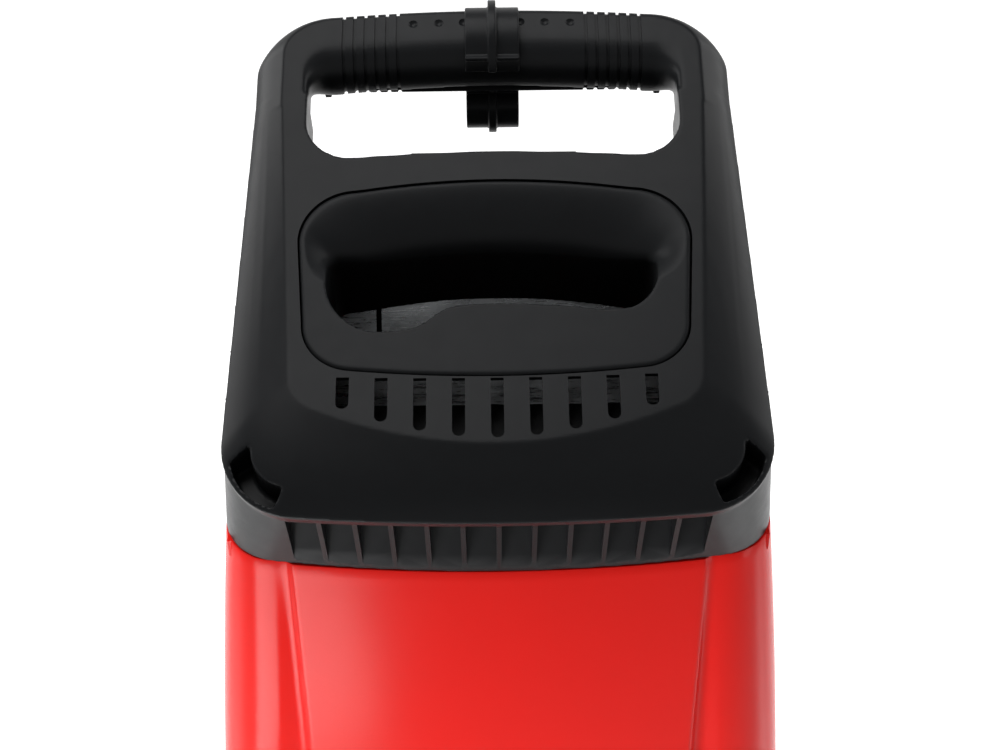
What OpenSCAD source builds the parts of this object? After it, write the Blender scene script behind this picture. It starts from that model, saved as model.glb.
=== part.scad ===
// Garden shredder: a tilted hood with feed slot and handle on a folding tower,
// a disc cutter with its motor in the base, and a two-wheeled tube stand.
// Millimetres, +Z up, the front of the machine faces -Y, the ground is Z = 0.

/* [Tower] */
// width of the tower at the line where the hood begins
tower_top_w = 287.5; // [250:0.5:320]
// width of the tower at the parting plane
tower_bottom_w = 349; // [325:0.5:380]
// distance from the tower axis to the front at the top
tower_top_front = 77; // [70:0.5:85]
// distance from the tower axis to the front at the parting plane
tower_bottom_front = 97; // [90:0.5:106]
// distance from the tower axis to the rear at the top
tower_top_rear = 90; // [84:0.5:100]
// distance from the tower axis to the rear at the parting plane
tower_bottom_rear = 112; // [104:0.5:120]
// height of the tower shells from the parting plane to the hood
tower_h = 332; // [310:1:360]
// wall of the tower shells
shell_wall = 3.2; // [2.4:0.1:4.5]
// half width of the raised front panel
front_panel_half = 108; // [95:1:112]
// radius of the tower's front corners
tower_corner_r = 28; // [20:1:34]
// growth of the front corners' radius halfway down the tower
corner_swell = 8; // [0:0.5:10]
// depth of the flutes beside the front panel at the parting plane
flute_depth = 8; // [2:0.5:12]
// plane where the front and the rear shell meet
seam_y = 25; // [10:1:40]

/* [Hood] */
// slope of the hood's flat top
hood_tilt = 21; // [16:0.5:25]
// Y of the middle of the feed panel's front edge
hood_ref_y = -35; // [-42:0.5:-30]
// height of the middle of the feed panel's front edge above the tower shells
hood_rise = 98; // [88:1:120]
// width over the front lip
hood_lip_w = 275; // [262:0.5:282]
// width at the handle end
hood_rear_w = 258.5; // [248:0.5:270]
// length from the panel edge down to the lip
hood_lip_t = 72; // [68:0.5:76]
// drop from the flat top to the lip edge
hood_drop = 17; // [13:0.5:22]
// thickness of the lip
lip_h = 6; // [4:0.5:9]
// wall of the hood
hood_wall = 3; // [2.4:0.1:4]
// width of the flat top at the front
flat_front_w = 206; // [190:1:216]
// width of the flat top at the rear
flat_rear_w = 228; // [215:1:236]
// number of vent slots
vent_n = 9; // [5:2:9]
// spacing of the vent slots
vent_pitch = 19.1; // [15:0.1:20]
// width of a vent slot
vent_w = 6.4; // [4:0.1:8]
// number of ribs in the band under the lip
rib_n = 11; // [5:2:13]
// spacing of the ribs
rib_pitch = 17.7; // [12:0.1:18]
// thickness of a rib
rib_t = 2.5; // [1.8:0.1:4]

/* [Handle] */
// diameter of the grip bar
bar_d = 37.6; // [32:0.2:40]
// distance of the bar's axis from the panel edge along the slope
bar_t = 211.5; // [207:0.5:215]
// depth of the bar's axis under the flat top
bar_drop = 16; // [12:0.5:20]
// width of the grip opening
grip_w = 199; // [180:1:204]
// where the grip opening starts along the slope
grip_t = 133; // [130:0.5:140]
// depth of the handle frame
frame_h = 36; // [32:0.5:40]
// number of grooves in each grip band
groove_n = 6; // [3:1:7]
// spacing of the grip grooves
groove_pitch = 5.9; // [4.5:0.1:6.5]
// distance from the middle to the first groove
groove_start = 51.5; // [46:0.5:54]
// width of the clip
clip_w = 29.5; // [20:0.5:32]
// wall of the clip rings
clip_wall = 3; // [2.4:0.1:4]
// radius that the clip's lower ring holds
clip_hold_r = 9.8; // [8:0.1:11]

/* [Feed panel] */
// width of the panel at the front
panel_front_w = 195; // [185:1:196]
// width of the panel at the rear
panel_rear_w = 202; // [192:1:206]
// length of the panel
panel_len = 114.5; // [110:0.5:118]
// thickness of the panel
panel_h = 3; // [2.4:0.1:4]
// gap between the panel and the hood
panel_gap = 0.8; // [0.4:0.1:1.2]
// depth of the dish behind the tongue
dish_h = 20; // [14:0.5:24]
// length of the feed funnel under the flat top
funnel_h = 70; // [50:1:74]
// extra depth of the slot's left lobe
lobe_drop = 11.5; // [0:0.5:13]

/* [Cutting unit] */
// height of the base from its underside to the parting plane
base_h = 130; // [124:1:140]
// diameter of the cutting disc
disc_d = 172; // [150:1:174]
// thickness of the cutting disc
disc_h = 8; // [6:0.5:9]
// thickness of a knife
knife_h = 5; // [4:0.5:5.5]
// Y of the rotor axis
rotor_y = 7; // [4:0.5:10]
// half width of the feed chute inside
chute_half = 62; // [50:1:64]
// front inner face of the feed chute
chute_front = 50; // [40:1:52]
// rear inner face of the feed chute
chute_rear = 14; // [8:0.5:15]
// diameter of the motor shaft
shaft_d = 16; // [14:0.5:18]
// radius of the stator
stator_r = 56; // [50:1:58]

/* [Stand] */
// diameter of the leg tubes
tube_d = 25; // [20:0.5:28]
// wall of the leg tubes
tube_wall = 1.5; // [1:0.1:2.5]
// diameter of the wheels
wheel_d = 150; // [130:2:160]
// width of the wheels
wheel_w = 38; // [30:1:40]
// distance between the wheel middles
track_w = 410; // [400:2:430]
// depth of the machine from the front feet to the rear of the wheels
stance_d = 430; // [410:2:460]
// diameter of the axle
axle_d = 12; // [10:0.5:14]
// radius of the front feet
foot_r = 22; // [20:0.5:26]
// height of the base housing's underside over the ground
stand_h = 300; // [285:1:330]

/* [Controls] */
// radius of the on and off buttons
button_r = 11; // [8:0.5:12]
// stroke of the on and off buttons
button_stroke = 4; // [3:0.5:5]
// radius of the lock knob
knob_r = 23; // [18:0.5:25]

/* [Hidden] */
slide_gap = 0.3;
fit_gap = 0.15;
eps = 0.05;
base_bottom_z = stand_h;
part_z = base_bottom_z + base_h;
tower_top_z = part_z + tower_h;
hood_ref_z = tower_top_z + hood_rise;
axle_y = stance_d / 2 - wheel_d / 2;
hood_z0 = tower_top_z + slide_gap / 2;
tower_z1 = tower_top_z - slide_gap / 2;
tower_z0 = part_z + 0.5;
base_z1 = part_z - 0.5;
lip_half = hood_lip_w / 2;
bar_r = bar_d / 2;
ring_r = bar_r + 0.6;
pin_r = 3;
post_x = lip_half - 16;
post_y = hood_ref_y - 15;
hinge_r = 7;
hinge_y = -tower_bottom_front - hinge_r - 2;
hinge_x = 95;
disc_top_z = part_z - 16;
disc_r = disc_d / 2;
chamber_r = disc_r + 4;
chamber_z0 = part_z - 58;
shaft_r = shaft_d / 2;
stack_z0 = part_z - 168;
stack_z1 = part_z - 100;
cover_z0 = part_z - 246;
armature_r = stator_r - 22.5;
bracket_z0 = chamber_z0 - 16;
knob_y = tower_bottom_rear + 11.6;
foot_y = -(axle_y + wheel_d / 2) + foot_r;
foot_x = 180;
axle_z = wheel_d / 2;
tube_r = tube_d / 2;
axle_r = axle_d / 2;
block_x = track_w / 2 - wheel_w / 2 - 18;
leg_front_top = [tower_bottom_w / 2 - 44.5, -62, base_bottom_z - 1];
leg_rear_top = [tower_bottom_w / 2 - 44.5, 70, base_bottom_z - 1];
leg_front_low = [foot_x, foot_y, 16];
leg_rear_low = [block_x, axle_y, axle_z];
turret_x = tower_bottom_w / 2 + 24;
turret_z0 = part_z - 108;
turret_h = 90;
turret_half = 48;

// value between a and b
function mix(a, b, k) = a + (b - a) * k;

// points of an arc
function arc(c, r, a0, a1, n) =
    [for (i = [0:n]) [c[0] + r * cos(mix(a0, a1, i / n)), c[1] + r * sin(mix(a0, a1, i / n))]];

// the right half of an outline and its mirror image as one closed ring
function both(half) =
    concat(half, [for (i = [len(half) - 2:-1:1]) [-half[i][0], half[i][1]]]);

// rounded plan form with a bowed front edge, a bowed rear edge and tapering sides
function plan(wf, wr, tf, bow, rf, tr, rbow, rr) =
    let (a = atan(2 * bow / (wf - rf * 0.6)), xe = wf - rf + rf * sin(a), xr = wr - rr)
    both(concat(
        [for (i = [0:5]) [xe * i / 6, tf + bow * pow(i / 6, 2)]],
        arc([wf - rf, tf + bow + rf * cos(a)], rf, a - 90, 0, 7),
        arc([xr, tr - rr], rr, 0, 88, 7),
        [for (i = [3:-1:0]) [xr * i / 4, tr + rbow * (1 - pow(i / 4, 2))]]));

// ring at one height
function at_z(ring, z) = [for (p = ring) [p[0], p[1], z]];

// points of the hood's sloping frame in the machine's frame
function tilt(x, t, w) = [
    x,
    hood_ref_y + t * cos(hood_tilt) - w * sin(hood_tilt),
    hood_ref_z + t * sin(hood_tilt) + w * cos(hood_tilt)
];
function tilted(ring, w) = [for (p = ring) tilt(p[0], p[1], w)];

// ring between two rings
function blend(a, b, k) = [for (i = [0:len(a) - 1]) a[i] + (b[i] - a[i]) * k];

// solid through a stack of rings, lowest first
module loft(rings) {
    n = len(rings[0]);
    m = len(rings);
    polyhedron(
        points = [for (r = rings) each r],
        faces = concat(
            [[for (i = [0:n - 1]) i]],
            [for (j = [0:m - 2]) for (i = [0:n - 1])
                [j * n + i, (j + 1) * n + i, (j + 1) * n + (i + 1) % n]],
            [for (j = [0:m - 2]) for (i = [0:n - 1])
                [j * n + i, (j + 1) * n + (i + 1) % n, j * n + (i + 1) % n]],
            [[for (i = [n - 1:-1:0]) (m - 1) * n + i]]));
}

// the hood's sloping frame: X across, Y up the slope, Z out of the flat top
module on_slope() {
    translate([0, hood_ref_y, hood_ref_z])
        rotate([hood_tilt, 0, 0])
            children();
}

// cylinder along X
module rod_x(x0, x1, r, fn = 48) {
    translate([x0, 0, 0])
        rotate([0, 90, 0])
            cylinder(h = x1 - x0, r = r, $fn = fn);
}

// cylinder from one point to another
module rod(a, b, r, fn = 64) {
    d = b - a;
    translate(a)
        rotate([0, acos(d[2] / norm(d)), atan2(d[1], d[0])])
            cylinder(h = norm(d), r = r, $fn = fn);
}

// box with rounded vertical edges
module soft_box(x, y, z, r) {
    linear_extrude(z)
        union() {
            square([x, y - 2 * r], center = true);
            square([x - 2 * r, y], center = true);
            for (sx = [-1, 1])
                for (sy = [-1, 1])
                    translate([sx * (x / 2 - r), sy * (y / 2 - r)])
                        circle(r, $fn = 32);
        }
}

// pan head screw with its head on top at the origin
module screw(len, r = 2, head = 3.8) {
    cylinder(h = 2.2, r = head, $fn = 32);
    translate([0, 0, -len])
        cylinder(h = len, r = r, $fn = 24);
}

// growth of the tower from top (0) to parting plane (1)
function spread(z) = let (s = (tower_top_z - z) / tower_h) s * (1.35 - 0.35 * s);
function tower_half(z) = mix(tower_top_w, tower_bottom_w, spread(z)) / 2;
function tower_front(z) = mix(tower_top_front, tower_bottom_front, spread(z));
function tower_rear(z) = mix(tower_top_rear, tower_bottom_rear, spread(z));

// right half of the front outline of the tower, inset by a wall
function front_half(z, wall) =
    let (
        s = (tower_top_z - z) / tower_h, hw = tower_half(z), fr = tower_front(z), sag = 7,
        r = tower_corner_r + 4 * corner_swell * s * (1 - s),
        xr = hw - r, yp = -fr + sag, g = 1.5 + (flute_depth - 1.5) * spread(z),
        p = front_panel_half)
    concat(
        [for (i = [0:6]) [p * i / 6, -fr + sag * pow(i / 6, 2) + wall]],
        [for (i = [1:5]) let (u = i / 6) [mix(p, xr, u), yp + 3 * u + g * sin(180 * sqrt(u)) + wall]],
        arc([xr, yp + 3 + r], r - wall, -90, 0, 7),
        [[hw - wall, seam_y - slide_gap / 2]]);

// right half of the rear outline of the tower, inset by a wall
function rear_half(z, wall) =
    let (hw = tower_half(z), re = tower_rear(z), r = 35)
    concat(
        [[hw - wall, seam_y + slide_gap / 2]],
        arc([hw - r, re - r], r - wall, 0, 90, 8),
        [[(hw - r) / 2, re - wall], [0, re - wall]]);

// open outline of the front from the left seam to the right one
function front_line(z, wall) =
    let (half = front_half(z, wall))
    concat([for (i = [len(half) - 1:-1:1]) [-half[i][0], half[i][1], z]], at_z(half, z));

// open outline of the rear from the right seam to the left one
function rear_line(z, wall) =
    let (half = rear_half(z, wall))
    concat(at_z(half, z), [for (i = [len(half) - 2:-1:0]) [-half[i][0], half[i][1], z]]);

// both triangles of a four-sided face
function quad(a, b, c, d) = [[a, b, c], [a, c, d]];

// open shell between the lines of its outer face and those of its inner face, lowest first
module open_shell(outer, inner) {
    n = len(outer[0]);
    m = len(outer);
    k = n * m;
    polyhedron(
        points = concat([for (r = outer) each r], [for (r = inner) each r]),
        faces = concat(
            [for (j = [0:m - 2]) for (i = [0:n - 2])
                each quad(j * n + i, (j + 1) * n + i, (j + 1) * n + i + 1, j * n + i + 1)],
            [for (j = [0:m - 2]) for (i = [0:n - 2])
                each quad(k + j * n + i, k + j * n + i + 1, k + (j + 1) * n + i + 1, k + (j + 1) * n + i)],
            [for (i = [0:n - 2]) each quad(i, i + 1, k + i + 1, k + i)],
            [for (i = [0:n - 2])
                each quad(k - n + i, 2 * k - n + i, 2 * k - n + i + 1, k - n + i + 1)],
            [for (j = [0:m - 2]) each quad(j * n, k + j * n, k + (j + 1) * n, (j + 1) * n)],
            [for (j = [0:m - 2])
                each quad(j * n + n - 1, (j + 1) * n + n - 1, k + (j + 1) * n + n - 1, k + j * n + n - 1)]));
}

// whole plan of the tower at one height
function tower_plan(z, wall) =
    plan(tower_half(z) - wall, tower_half(z) - wall, -tower_front(z) + wall, 9,
        tower_corner_r + 4 - wall, tower_rear(z) - wall, 0.01, 35 - wall);

// plan of the base housing at one height
function base_spread(z) = (base_z1 - z) / (base_z1 - base_bottom_z);
function base_plan(z, wall) =
    let (k = base_spread(z), e = pow(k, 2))
    plan(tower_bottom_w / 2 - 14 * e - wall, tower_bottom_w / 2 - 14 * e - wall,
        -tower_bottom_front + 9 * e + wall, 9, tower_corner_r + 4 - wall,
        tower_bottom_rear - 12 * e - wall, 0.01, 35 - wall);

// outlines of the hood in its sloping frame
function hood_outer(inset, tr, rr) =
    plan(lip_half - inset, hood_rear_w / 2 - inset, -hood_lip_t + inset, 4, 40 - inset,
        tr - inset, 3, rr - inset);
function hood_flat(inset, tr, rr) =
    plan(flat_front_w / 2 - inset, flat_rear_w / 2 - inset, -37 + inset, 20, 20, tr - inset, 3, rr);
function hood_edge(u) = -hood_drop * (0.75 * u + 0.25 * pow(u, 4));
bar_back_t = bar_t + bar_r;

// panel outline, grown by a gap
function panel_ring(grow) =
    plan(panel_front_w / 2 + grow, panel_rear_w / 2 + grow, -grow, 4, 26 + grow,
        panel_len - 6 + grow, 6, 30 + grow);

// front edge of the feed slot, with the deeper lobe on the left
function slot_front(x) = 40.8 - 0.0014 * x * x - lobe_drop / (1 + exp((x + 32) / 3.5));

// outline of the feed slot
slot_ring = concat(
    arc([-56, 55], 30.5, 180, 256, 8),
    [for (i = [0:13]) let (x = -55 + i * 8.6) [x, slot_front(x)]],
    arc([58.5, 60], 24.5, 292, 355, 6),
    arc([75.5, 66], 8, 10, 75, 4),
    [for (i = [0:8]) let (x = 69 - i * 17.5) [x, 82.7 - 0.0015 * x * x]],
    arc([-78, 66], 8.6, 105, 170, 4));

// share of the dish's depth at a point of the slot's edge, from the tongue to the rear
function dish_k(t) = let (k = min(1, max(0, (t - 42) / 34))) k * k * (3 - 2 * k);

// upper edge of the dish around the slot
dish_ring = [for (p = slot_ring) let (k = dish_k(p[1]))
    [p[0] * (1 + 0.13 * k), p[1] + (23 + 4 * (1 - pow(p[0] / 88, 2))) * k]];

// ring of the dish between the slot's edge (0) and its upper edge (1)
function dish_at(b) =
    let (ring = blend(slot_ring, dish_ring, b))
    [for (i = [0:len(ring) - 1]) [ring[i][0], ring[i][1], -dish_h * pow(1 - b, 1.8) * dish_k(slot_ring[i][1])]];

// deflector plate: upper and lower edge in the Y-Z plane
deflector_z = hood_ref_z - 34;
hood_in_p = tilt(0, 112, -hood_drop - lip_h + 2);
deflector_k = (deflector_z + 14 - hood_z0 + 1) / (hood_in_p[2] - hood_z0 + 1);
deflector_top = [mix(tower_top_rear - hood_wall - 0.2, hood_in_p[1], deflector_k) - 0.5, deflector_z];
deflector_low = [chute_rear + 3, tower_top_z - 20];

// sector of a ring around the bar's axis, from angle a0 to a1 seen along -X
module bar_sector(x0, x1, r0, r1, a0, a1) {
    translate([x0, 0, 0])
        rotate([90, 0, 90])
            rotate([0, 0, a0])
                rotate_extrude(angle = a1 - a0, $fn = 72)
                    translate([r0, 0])
                        square([r1 - r0, x1 - x0]);
}

// the bar's axis in the machine's frame
module on_bar() {
    translate(tilt(0, bar_t, -bar_drop))
        children();
}

module hood_body() {
    // top plate with its falling edge and the lip
    loft(concat(
        [tilted(hood_outer(0.8, bar_back_t, 45), -hood_drop - lip_h)],
        [for (u = [1, 0.86, 0.7, 0.5, 0.25, 0])
            tilted(blend(hood_flat(0, bar_back_t - 14, 30), hood_outer(0, bar_back_t, 45), u),
                hood_edge(u))]));
    // deeper frame of the handle
    intersection() {
        loft([
            tilted(hood_outer(6, bar_back_t, 45), -frame_h),
            tilted(hood_outer(2, bar_back_t, 45), -frame_h + 6),
            tilted(hood_outer(0.8, bar_back_t, 45), -hood_drop)]);
        on_slope()
            translate([-200, 112, -frame_h - 10])
                cube([400, 200, frame_h + 20]);
    }
    // skirt down to the tower
    loft([
        at_z(tower_plan(tower_top_z, 0), hood_z0),
        tilted(hood_outer(1, 118, 34), -hood_drop - lip_h + 1)]);
}

// space inside the hood
module hood_inside() {
    loft([
        at_z(tower_plan(tower_top_z, hood_wall + 0.2), hood_z0 - 1),
        tilted(plan(lip_half - 6, hood_rear_w / 2 - 4, -48, 6, 30, 112, 3, 30),
            -hood_drop - lip_h + 2),
        tilted(plan(lip_half - 9, hood_rear_w / 2 - 5, -48, 8, 26, 110, 3, 28), -hood_drop + 2),
        tilted(hood_flat(hood_wall + 1, 110, 26), -hood_wall)]);
}

module corner_pocket(grow, depth) {
    for (s = [0, 1])
        mirror([s, 0, 0])
            on_slope()
                translate([lip_half - 40, -hood_lip_t + 44, -depth])
                    rotate([0, 0, -64 - grow])
                        rotate_extrude(angle = 49 + 2 * grow, $fn = 96)
                            translate([28.5 - grow, 0])
                                square([10.3 + 2 * grow, 90]);
}

module hood() {
    color([0.2, 0.21, 0.215])
        difference() {
            union() {
                difference() {
                    hood_body();
                    hood_inside();
                    // grip opening
                    on_slope()
                        translate([0, 0, -frame_h - 20])
                            linear_extrude(frame_h + 60)
                                polygon(plan(grip_w / 2, grip_w / 2, grip_t, -3, 24, 300, 0.01, 2));
                    // hollow arms, open below
                    for (s = [-1, 1])
                        on_slope()
                            translate([s * (grip_w / 2 + hood_rear_w / 2) / 2, 154, -frame_h - 5])
                                soft_box(hood_rear_w / 2 - grip_w / 2 - 9, 64, frame_h - 16, 4);
                }
                // grip bar, open along its underside
                on_bar()
                    bar_sector(-grip_w / 2 - 3, grip_w / 2 + 3, bar_r - 4, bar_r, -48, 228);
                on_bar()
                    for (s = [-1, 1])
                        translate([s * (grip_w / 2 + 0.5), 0, 0])
                            rod_x(-3.5, 3.5, bar_r - 0.2);
                // cups of the corner pockets and posts of the hood screws
                intersection() {
                    union() {
                        corner_pocket(2.4, 46);
                        for (s = [-1, 1])
                            translate([s * post_x, post_y, hood_z0])
                                cylinder(h = 200, r = 6.5, $fn = 40);
                    }
                    hood_body();
                }
            }
            corner_pocket(0, 40);
            // panel opening
            on_slope()
                translate([0, 0, -10])
                    linear_extrude(30)
                        polygon(panel_ring(panel_gap));
            // vent slots
            on_slope()
                for (i = [-(vent_n - 1) / 2:(vent_n - 1) / 2])
                    vent_slot(i * vent_pitch);
            // pockets between the ribs
            for (i = [-(rib_n + 1) / 2:(rib_n - 1) / 2])
                rib_pocket((i + 0.5) * rib_pitch);
            // grip grooves
            on_bar()
                for (s = [-1, 1])
                    for (i = [0:groove_n - 1])
                        translate([s * (groove_start + i * groove_pitch) - 1.1, 0, 0])
                            difference() {
                                rod_x(0, 2.2, bar_r + 2, 72);
                                rod_x(-1, 3.2, bar_r - 1.1, 72);
                            }
            // holes of the hood screws
            for (s = [-1, 1])
                translate([s * post_x, post_y, hood_z0 - 1])
                    cylinder(h = 27, r = 2.1, $fn = 24);
        }
}

// one vent slot at a distance from the middle
module vent_slot(x) {
    top = 0.3 * pow(x / 38, 2) - 1.5;
    low = -33.3 + 16.3 * pow(x / 76, 2) - (vent_w / 2) * 0.2;
    translate([0, 0, -hood_wall - 14])
        linear_extrude(60)
            union() {
                translate([x - vent_w / 2, low + vent_w / 2])
                    square([vent_w, top - low - vent_w / 2]);
                translate([x, low + vent_w / 2])
                    circle(vent_w / 2, $fn = 24);
            }
}

// hollow between two ribs of the front band
module rib_pocket(x) {
    lip = tilt(0, -hood_lip_t, -hood_drop - lip_h);
    back = -tower_top_front + 8 * pow(x / 106, 2);
    translate([x - (rib_pitch - rib_t) / 2, 0, 0])
        rotate([90, 0, 90])
            linear_extrude(rib_pitch - rib_t)
                polygon([
                    [back - 60, lip[2] + 0.5], [back - 8, lip[2] + 0.5], [back + 0.5, lip[2] - 4],
                    [back - 1, hood_z0 + 14], [back - 3, hood_z0 + 3], [back - 60, hood_z0 + 3]]);
}

module handle_lower_shell() {
    color([0.17, 0.18, 0.185])
        on_bar() {
            difference() {
                bar_sector(-grip_w / 2 + 8, grip_w / 2 - 8, bar_r - 3.6, bar_r, 229, 311);
                for (s = [-1, 1])
                    for (i = [0:groove_n - 1])
                        translate([s * (groove_start + i * groove_pitch) - 1.1, 0, 0])
                            bar_sector(0, 2.2, bar_r - 1.1, bar_r + 1, 220, 320);
            }
            for (s = [-1, 1])
                translate([s * (grip_w / 2 - 8), 0, 0])
                    bar_sector(-1.6, 1.6, bar_r - 3.6, bar_r + 2.4, 232, 308);
        }
}

clip_low = ring_r + clip_wall + clip_hold_r + clip_wall + 1.9;

// wedge that opens a ring between two angles
module wedge(a0, a1, r) {
    polygon([
        [0, 0], [r * cos(a0), r * sin(a0)],
        [1.6 * r * cos((a0 + a1) / 2), 1.6 * r * sin((a0 + a1) / 2)], [r * cos(a1), r * sin(a1)]]);
}

// side form of the clip with its rings thickened by e and f
module clip_form(e, f) {
    difference() {
        union() {
            difference() {
                circle(ring_r + clip_wall + e, $fn = 96);
                wedge(182 - e, 252, 60);
            }
            translate([0, -clip_low])
                difference() {
                    circle(clip_hold_r + clip_wall + f, $fn = 72);
                    wedge(-50 + 2 * f, 50 - 2 * f, 60);
                }
            translate([-5.5, -clip_low + clip_hold_r - 1])
                square([11, clip_low - clip_hold_r - ring_r + 3]);
        }
        circle(ring_r, $fn = 96);
        translate([0, -clip_low])
            circle(clip_hold_r, $fn = 72);
    }
}

// double clip: the upper ring sits on the bar, the lower one holds a rod
module handle_clip() {
    color([0.19, 0.2, 0.2])
        on_bar()
            rotate([90, 0, 90]) {
                translate([0, 0, -clip_w / 2])
                    linear_extrude(clip_w)
                        union() {
                            clip_form(0, 0);
                            // ridge above the front end of the upper ring
                            translate([-ring_r - clip_wall - 1.6, 6.6])
                                square([4.2, 2.4]);
                        }
                translate([0, 0, -2.2])
                    linear_extrude(4.4)
                        clip_form(4, 2.6);
            }
}

module feed_panel() {
    color([0.21, 0.22, 0.225])
        on_slope()
            difference() {
                union() {
                    translate([0, 0, -panel_h])
                        linear_extrude(panel_h)
                            polygon(panel_ring(0));
                    // body under the dish
                    hull() {
                        translate([0, 0, -panel_h])
                            linear_extrude(1)
                                offset(delta = 1.5)
                                    polygon(dish_ring);
                        translate([0, 0, -dish_h - 2])
                            linear_extrude(1)
                                offset(delta = 3)
                                    polygon(slot_ring);
                    }
                    // funnel walls behind and beside the slot
                    difference() {
                        translate([0, 0, -funnel_h])
                            linear_extrude(funnel_h - dish_h)
                                offset(delta = 2.8)
                                    polygon(slot_ring);
                        translate([-150, -50, -funnel_h - 1])
                            cube([300, 102, funnel_h - dish_h]);
                    }
                }
                loft([
                    at_z(slot_ring, -dish_h - 3.5),
                    for (b = [0, 0.16, 0.36, 0.64]) dish_at(b),
                    at_z([for (p = dish_ring) [p[0] * 1.001, p[1] + 0.02]], 1)]);
                translate([0, 0, -funnel_h - 5])
                    linear_extrude(funnel_h)
                        polygon(slot_ring);
            }
}

// plate that keeps chips from flying out of the vents
module vent_baffle() {
    color([0.16, 0.165, 0.17])
        on_slope()
            translate([0, -16, -hood_wall - 24])
                difference() {
                    union() {
                        translate([-88, -20, 0])
                            cube([176, 32, 2]);
                        for (s = [-1, 1])
                            translate([s * 85.6 - 2, 4, 0])
                                cube([4, 8, 24 - slide_gap]);
                    }
                    for (s = [-1, 1])
                        translate([s * 3.5 * vent_pitch, 4, -1])
                            cylinder(h = 4, r = 2.2, $fn = 24);
                }
}

// steel wear plate that turns the feed from the slot into the chute
module deflector_plate() {
    t = 1.5;
    d = deflector_top - deflector_low;
    n = [-d[1], d[0]] / norm(d) * t;
    color([0.72, 0.73, 0.74])
        difference() {
            translate([-90, 0, 0])
                rotate([90, 0, 90])
                    linear_extrude(180)
                        polygon([
                            deflector_low, deflector_top, deflector_top + [0, 14],
                            deflector_top + [-t, 14], deflector_top + n + [0, 1], deflector_low + n]);
            // slit
            translate([-66, deflector_top[0] - 24, deflector_top[1] - 44])
                cube([3, 40, 60]);
            for (s = [-1, 1])
                translate([s * 80, deflector_top[0] - 20, deflector_top[1] + 8])
                    rotate([-90, 0, 0])
                        cylinder(h = 40, r = 2.2, $fn = 24);
        }
}

module feed_chute() {
    color([0.18, 0.185, 0.19])
        difference() {
            union() {
                translate([-chute_half - 3, -chute_front - 3, tower_z0 + 7])
                    cube([2 * chute_half + 6, chute_front + chute_rear + 6, tower_h - 28]);
                translate([-chute_half - 14, -chute_front - 14, tower_z0 + 7])
                    cube([2 * chute_half + 28, chute_front + chute_rear + 21, 4]);
            }
            translate([-chute_half, -chute_front, tower_z0])
                cube([2 * chute_half, chute_front + chute_rear, tower_h]);
        }
}

module hopper_floor() {
    color([0.18, 0.185, 0.19])
        difference() {
            translate([0, 0, tower_z0 + 2])
                linear_extrude(4.8)
                    polygon(tower_plan(tower_z0 + 10, shell_wall + flute_depth + 2));
            translate([-chute_half, -chute_front, part_z - 10])
                cube([2 * chute_half, chute_front + chute_rear, 40]);
            for (s = [-1, 1])
                translate([s * 42, chute_rear + 13, part_z - 10])
                    cylinder(h = 40, r = 3.1, $fn = 32);
        }
}

module counter_knife() {
    color([0.66, 0.67, 0.69])
        difference() {
            translate([-chute_half + 2, chute_rear + 4, disc_top_z + knife_h + 2.5])
                cube([2 * chute_half - 4, 18, tower_z0 + 2 - disc_top_z - knife_h - 2.5]);
            for (s = [-1, 1])
                translate([s * 42, chute_rear + 13, part_z - 30])
                    cylinder(h = 60, r = 3.1, $fn = 32);
        }
}

module front_shell() {
    zs = [for (i = [0:8]) mix(tower_z0, tower_z1, i / 8)];
    color([0.82, 0.09, 0.07])
        difference() {
            union() {
                open_shell([for (z = zs) front_line(z, 0)], [for (z = zs) front_line(z, shell_wall)]);
                for (s = [-1, 1])
                    translate([s * hinge_x, 0, 0])
                        knuckle(-9, 9, 1);
                // eyes for the hood screws
                for (s = [0, 1])
                    mirror([s, 0, 0]) {
                        translate([post_x, post_y, tower_z1 - 12])
                            cylinder(h = 12, r = 7, $fn = 40);
                        translate([0, post_y + 3, 0])
                            rotate([90, 0, 0])
                                linear_extrude(6)
                                    polygon([
                                        [post_x, tower_z1 - 12], [tower_half(tower_z1 - 12) - 2.2, tower_z1 - 12],
                                        [tower_half(tower_z1) - 2.2, tower_z1], [post_x, tower_z1]]);
                    }
            }
            for (s = [-1, 1])
                translate([s * hinge_x, hinge_y, part_z])
                    rod_x(-20, 20, pin_r + fit_gap);
            for (s = [-1, 1])
                translate([s * post_x, post_y, tower_z1 - 30])
                    cylinder(h = 60, r = 2.2, $fn = 24);
        }
}

// hinge knuckle with its web, up to the tower (1) or down to the base (-1)
module knuckle(x0, x1, side) {
    translate([0, hinge_y, part_z])
        rod_x(x0, x1, hinge_r);
    translate([x0, hinge_y, part_z + (side > 0 ? 0.8 : -14)])
        cube([x1 - x0, hinge_r + 8, 13.2]);
}

module rear_shell() {
    zs = [for (i = [0:8]) mix(tower_z0, tower_z1, i / 8)];
    color([0.19, 0.195, 0.2])
        difference() {
            open_shell([for (z = zs) rear_line(z, 0)], [for (z = zs) rear_line(z, shell_wall)]);
            for (s = [-1, 1])
                translate([s * 85, tower_top_rear - 20, tower_top_z - 18])
                    rotate([-90, 0, 0])
                        cylinder(h = 60, r = 2.2, $fn = 24);
        }
}

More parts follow.
